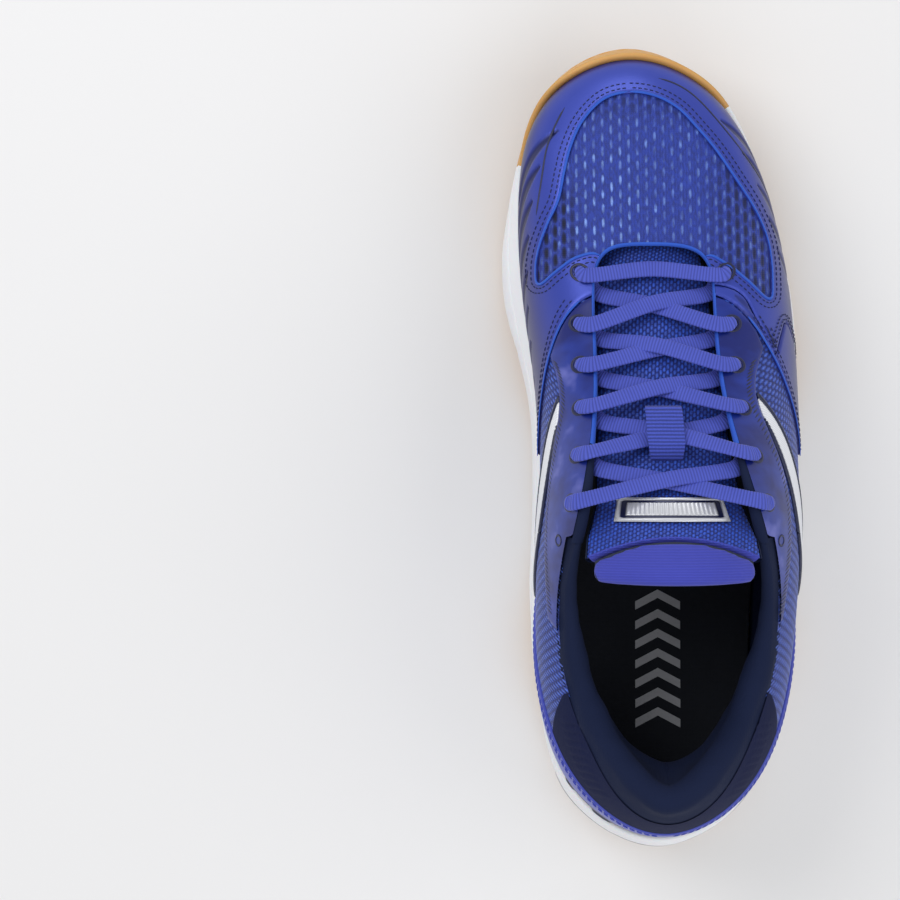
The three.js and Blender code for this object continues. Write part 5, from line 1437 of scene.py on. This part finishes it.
STITCH_ROWS, BAND_ROWS = (1.6, 3.4), (1.8, 4.0)      # distances of the two rows of stitches from an edge
REAR_LIMIT_Y = {OUTER_SIDE: 199, INNER_SIDE: 204}    # the overlay's rear edge is stitched behind this
behind = lambda line, y: resample(line[line[:, 0] < y], 2.0)
rear_edge = {side: behind(OVERLAY_REAR, y) for side, y in REAR_LIMIT_Y.items()}
rear_rows = {side: offset_lines(rear_edge[side], STITCH_ROWS, SIDE, side) for side in rear_edge}
window_rows = sum([lines_on(outward_of(MESH_WINDOW, d), PLAN) for d in STITCH_ROWS], [])
toe_rows = offset_lines(behind(TOE_REAR_OUTER, 196), STITCH_ROWS, SIDE, OUTER_SIDE)
marking("window_stitching", stitches(window_rows, OVER_OUT), "stitch", "navy_film")
marking("overlay_stitching", stitches(rear_rows[INNER_SIDE], OVER_OUT)
        + stitches(rear_rows[OUTER_SIDE] + toe_rows, OVER_OUT + 0.2), "stitch", "navy_film")
band_rows = sum([offset_lines(resample(BAND_TOP[:-4], 2.0), BAND_ROWS, SIDE, side) for side in rear_edge], [])
marking("heel_band_stitching", stitches(band_rows, OVER_OUT, 2.7, 1.9, 0.28), "blue_stitch", "blue_film")

# bright cut edges round the window and along the rear of the overlay
edge_lines = lines_on(outward_of(MESH_WINDOW, 0.15), PLAN)
for side, line in rear_edge.items():
    edge_lines += lines_on(line, SIDE, side)
marking("cut_edges", ribbons(edge_lines, 1.0, OVER_OUT, 0.16), "edge_blue", "blue_film")

# printed lines beside the mesh window, and hatching on the lower rim of the eyestays
outer_print = spline([[0.3, 286.6], [7.8, 284.2], [14.1, 279.6], [20.4, 272.6], [27.5, 263.9], [34.2, 255.3],
                      [40.4, 245.8], [45, 236]], 40)
inner_print = spline([[-33.9, 276], [-40, 263], [-42.2, 250], [-44.4, 235.5]], 24)
print_lines = lines_on(outer_print, PLAN, 0, 14) + lines_on(inner_print, PLAN, 0, 14)
marking("printed_lines", ribbons(print_lines, 0.8, OVER_OUT), "ink", "navy_film")
hatch = []
for side in (OUTER_SIDE, INNER_SIDE):
    for p in resample(spline(EYESTAY_LOW, 60), 1.6)[4:-2] + STAY_RISE[side]:
        hatch += lines_on(np.array([p + [0.6, 1.0], p + [-1.4, 4.2]]), SIDE, side, 0)
marking("eyestay_hatching", ribbons(hatch, 0.8, OVER_OUT), "ink", "navy_film")


# ------------------------------------------------------------------ eyelets and lace
MESH_THICK, LINING_THICK, LACE_THICK, LACE_WIDTH = 0.9, 0.8, 1.6, 7.0
EYELET_Y = [209.6, 192.4, 178, 162.8, 146, 129.4]
EYELET_INSET, SPARE_EYELET_Y, SPARE_INSET = 6.5, 116, 9.5
OVER = 1.2 + GAP + LACE_THICK / 2 + 0.25
UNDER = -(MESH_THICK + LINING_THICK + 2 * GAP + LACE_THICK / 2 + 0.8)
CROSS_LOW = GAP + LACE_THICK / 2 + 0.8
CROSS_HIGH = CROSS_LOW + LACE_THICK + 0.5
LEAD = 0.1               # how far towards the next row a lace leaves the edge of the throat


def one(fn, *args):
    """A function of arrays, at a single place."""
    return fn(*[np.array([float(a)]) for a in args])[0]


def eyelet_at(y, side, inset=EYELET_INSET):
    """The place of an eyelet: at y along the throat's edge, and inset from it."""
    lo, hi = 2.6, 7.0
    for _ in range(30):
        k = (lo + hi) / 2
        if one(last, k if side > 0 else RIB_COUNT - k, 1)[1] > y:
            lo = k
        else:
            hi = k
    u = lo if side > 0 else RIB_COUNT - lo
    top_point = one(last, u, 1)
    t = 1.0
    while np.linalg.norm(one(last, u, t) - top_point) < inset:
        t -= 0.004
    return {"u": u, "t": t, "point": one(last, u, t), "normal": one(last_normal, u, t)}


holes = [[eyelet_at(y, -1), eyelet_at(y, 1)] for y in EYELET_Y]
holes.append([eyelet_at(SPARE_EYELET_Y, side, SPARE_INSET) for side in (-1, 1)])


def tongue_k(y):
    """How far along the tongue its face is at y."""
    lo, hi = 0.0, 1.0
    for _ in range(24):
        k = (lo + hi) / 2
        lo, hi = (k, hi) if tongue_at(k, 0, 0)[1] > y else (lo, k)
    return lo


hole_at = lambda row, side: holes[row][1 if side > 0 else 0]
outward_at = lambda h: unit(one(last, h["u"], h["t"] - 0.05) - one(last, h["u"], h["t"] + 0.05))


def through_hole(h, sign):
    """The lace's knots, each a point, its upper side, width and thickness, from above a hole to below it."""
    out, n = outward_at(h), h["normal"]
    at = lambda d, a: h["point"] + n * d + out * a
    return [
        (at(OVER, -2.6), n * sign, 6.4, LACE_THICK),
        (at(OVER - 0.3, -0.2), (n + out) * sign, 4.4, 2.4),
        (at(-0.4, 0.2), out * sign, 3.4, 3.0),
        (at(UNDER - 0.5, -0.4), (out - n) * sign, 4.4, 2.4),
        (at(UNDER, -3), -n * sign, 6.4, LACE_THICK)]


def near_edge(row, side, lead, d):
    """Point and normal beside the throat's edge, a share lead of the way to the next row of eyelets."""
    a, b = hole_at(row, side), hole_at(min(row + 1, len(EYELET_Y) - 1), side)
    u = mix(a["u"], b["u"], lead)
    return one(last_at, u, 1, d), one(last_normal, u, 1)


def half_lace(first_side):
    """Knots of one half of the lace, from the lowest row to its end inside."""
    knots = through_hole(hole_at(0, first_side), 1)
    side, sign = first_side, 1
    for row in range(len(EYELET_Y) - 1):
        leave, leave_n = near_edge(row, side, LEAD, UNDER)
        arrive, arrive_n = near_edge(row, -side, 1 - LEAD * 0.5, OVER)
        k = tongue_k((leave[1] + arrive[1]) / 2)
        d = CROSS_HIGH if (row % 2 == 0) == (side > 0) else CROSS_LOW
        n = tongue_at(k, 0, -1) - tongue_at(k, 0, 0)
        sign = -sign
        knots += [(point, up * sign, LACE_WIDTH, LACE_THICK)
                  for point, up in ((leave, leave_n), (tongue_at(k, 0, -d), n), (arrive, arrive_n))]
        side = -side
        knots += through_hole(hole_at(row + 1, side), sign)
    end = hole_at(len(EYELET_Y) - 1, side)
    knots.pop()
    for t, d in ((0.82, UNDER - 1.2), (0.72, UNDER - 1.4)):
        tip = one(last_at, end["u"] + side * 0.05, t, d)
        knots.append((tip, one(last_normal, end["u"], t) * sign, 5.5, LACE_THICK))
    return knots


def lace_rows(step=0.21):
    """Rows of the whole lace: points, upper side, direction across, width and thickness, length so far."""
    k0 = tongue_k(hole_at(0, 1)["point"][1])
    n0 = tongue_at(k0, 0, -1) - tongue_at(k0, 0, 0)
    knots = half_lace(-1)[::-1] + [(tongue_at(k0, 0, -3.2), n0, LACE_WIDTH, LACE_THICK)] + half_lace(1)
    p = np.array([k[0] for k in knots])
    up = unit(np.array([k[1] for k in knots]))
    wh = np.array([k[2:] for k in knots], float)
    full = np.concatenate([[2 * p[0] - p[1]], p, [2 * p[-1] - p[-2]]])
    rows, frames, sizes = [], [], []
    for i in range(len(p) - 1):
        a, b, c, d = full[i:i + 4]
        d0, d1, d2 = [max(np.sum((q - r) ** 2) ** 0.25, 1e-4) for q, r in ((a, b), (b, c), (c, d))]
        t1 = ((b - a) / d0 - (c - a) / (d0 + d1) + (c - b) / d1) * d1
        t2 = ((c - b) / d1 - (d - b) / (d1 + d2) + (d - c) / d2) * d1
        count = max(2, int(np.linalg.norm(c - b) / step))
        f = np.linspace(0, 1, count + 1)[0 if i == 0 else 1:, None]
        rows.append(b + t1 * f + (-3 * b + 3 * c - 2 * t1 - t2) * f ** 2 + (2 * b - 2 * c + t1 + t2) * f ** 3)
        g = f * f * (3 - 2 * f)
        frames.append(mix(up[i], up[i + 1], g))
        sizes.append(mix(wh[i], wh[i + 1], g))
    rows, frames, sizes = np.concatenate(rows), np.concatenate(frames), np.concatenate(sizes)
    tangent = unit(np.gradient(rows, axis=0))
    square = lambda v: unit(v - tangent * (v * tangent).sum(-1, keepdims=True))
    frames = square(frames)
    for _ in range(6):
        frames = unit(frames + 0.5 * (np.roll(frames, 1, 0) + np.roll(frames, -1, 0)) * 0.5)
    frames = square(frames)
    length = np.r_[0, np.cumsum(np.linalg.norm(np.diff(rows, axis=0), axis=1))]
    return rows, frames, np.cross(tangent, frames), sizes, length


rows, frames, across, sizes, length = lace_rows()
phi = np.linspace(0, 2 * np.pi, 21)[:-1]
power = lambda c: np.sign(c) * np.abs(c) ** 0.62
cx, cy = power(np.cos(phi)), power(np.sin(phi))
ribs = 0.5 * (1 + np.cos(2 * np.pi * length / 1.1))[:, None]
half_w = sizes[:, :1] / 2 * 0.9 * (1 - 0.02 * (1 - ribs))
half_h = sizes[:, 1:] / 2 * (1 - 0.2 * (1 - ribs)) * (1 + 0.1 * np.cos(np.pi * cx)[None, :])
tube = (rows[:, None, :] + across[:, None, :] * (half_w * cx[None, :])[..., None]
        + frames[:, None, :] * (half_h * cy[None, :])[..., None])
# rib: how deep each groove is, used for painted shade in the lace's colour
lace_values = {"rib": np.broadcast_to((1 - ribs) ** 2, tube.shape[:2])}
place(grid_object("flat_lace", tube, MATS["lace"], closed_cols=True, attrs=lace_values), "shoe", "lace_cord",
      "lace")


def ellipse(h, count, width, height, d):
    """Ring of points round an eyelet, at height d above the last."""
    out, n = outward_at(h), h["normal"]
    q = np.linspace(0, 2 * np.pi, count + 1)[:-1, None]
    return h["point"] + n * d + (out * (width * np.cos(q)) + np.cross(n, out) * (height * np.sin(q)))


RIM_PROFILE = ((2.3, -1.2), (2.4, 1.02), (2.6, 1.2), (3.2, 1.2), (3.4, 1.0))    # radius and height


def eyelet_rim(h, size):
    rings = [ellipse(h, 32, size * radius * 1.25, size * radius, d) for radius, d in RIM_PROFILE]
    return np.concatenate(rings), grid_faces(len(rings), 32, False, True)


def eyelet_shadow_cone(h):
    """A shallow dark cone, a painted shadow that stands for the hole."""
    tip = h["point"] + h["normal"] * (OVER_OUT - 0.5)
    j = np.arange(24)
    faces = np.stack([j, (j + 1) % 24, np.full(24, 24)], -1)
    return np.concatenate([ellipse(h, 24, 2.7, 2.2, OVER_OUT + 0.03), [tip]]), faces


rims = [eyelet_rim(h, 0.6 if pair is holes[-1] else 1.0) for pair in holes for h in pair]
marking("eyelet_rims", rims, "ink", "navy_film")
marking("eyelet_hole_shadows", [eyelet_shadow_cone(h) for pair in holes for h in pair], "hole", "navy_film")


# ------------------------------------------------------------------ CAD pieces that stay inside
for node, key in (("lasting_board", "board"), ("sockliner_foam", "black_foam"), ("heel_counter", "stiffener"),
                  ("toe_puff", "stiffener"), ("collar_foam", "foam"), ("tongue_foam", "foam"),
                  ("tongue_cuff_foam", "foam")):
    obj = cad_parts[node]
    if obj.material_slots:
        for one_slot in obj.material_slots:
            one_slot.link = "OBJECT"
            one_slot.material = MATS[key]
    else:
        obj.data.materials.append(MATS[key])


# ------------------------------------------------------------------ floor, light and camera
bpy.ops.mesh.primitive_plane_add(size=6, location=(0, 0, 0))
floor = bpy.context.object
floor.name = "floor"
floor.data.materials.append(MATS["floor"])


def area_light(name, location, target, size, power):
    data = bpy.data.lights.new(name, "AREA")
    data.shape = "RECTANGLE"
    data.size, data.size_y = size
    data.energy = power
    obj = bpy.data.objects.new(name, data)
    bpy.context.scene.collection.objects.link(obj)
    obj.location = location
    obj.rotation_euler = (Vector(target) - Vector(location)).to_track_quat("-Z", "Y").to_euler()


area_light("key", (-0.75, 0.55, 1.15), (0, 0, 0.05), (0.8, 0.8), 7.0)
area_light("fill", (0.95, -0.2, 1.1), (0, 0, 0.05), (1.1, 1.1), 4.6)
area_light("back", (0.1, -1.0, 0.9), (0, 0, 0.05), (1.0, 0.6), 3.4)
area_light("toe", (-0.1, 0.95, 0.55), (0, 0.1, 0.05), (0.5, 0.3), 1.6)
world = bpy.data.worlds.new("studio")
world.use_nodes = True
world.node_tree.nodes["Background"].inputs["Color"].default_value = (1, 1, 1, 1)
world.node_tree.nodes["Background"].inputs["Strength"].default_value = 0.56
bpy.context.scene.world = world
bpy.context.scene.view_settings.view_transform = "Standard"

CAMERA_HEIGHT, PICTURE_WIDTH, MID_HEIGHT = 1.2, 0.3335, 0.06
camera_data = bpy.data.cameras.new("camera")
camera_data.sensor_width = 36
camera_data.lens = 36 * CAMERA_HEIGHT / PICTURE_WIDTH
camera = bpy.data.objects.new("camera", camera_data)
bpy.context.scene.collection.objects.link(camera)
camera.location = (-0.0765, -0.0009, CAMERA_HEIGHT + MID_HEIGHT)
camera.rotation_euler = (0, 0, 0)
bpy.context.scene.camera = camera
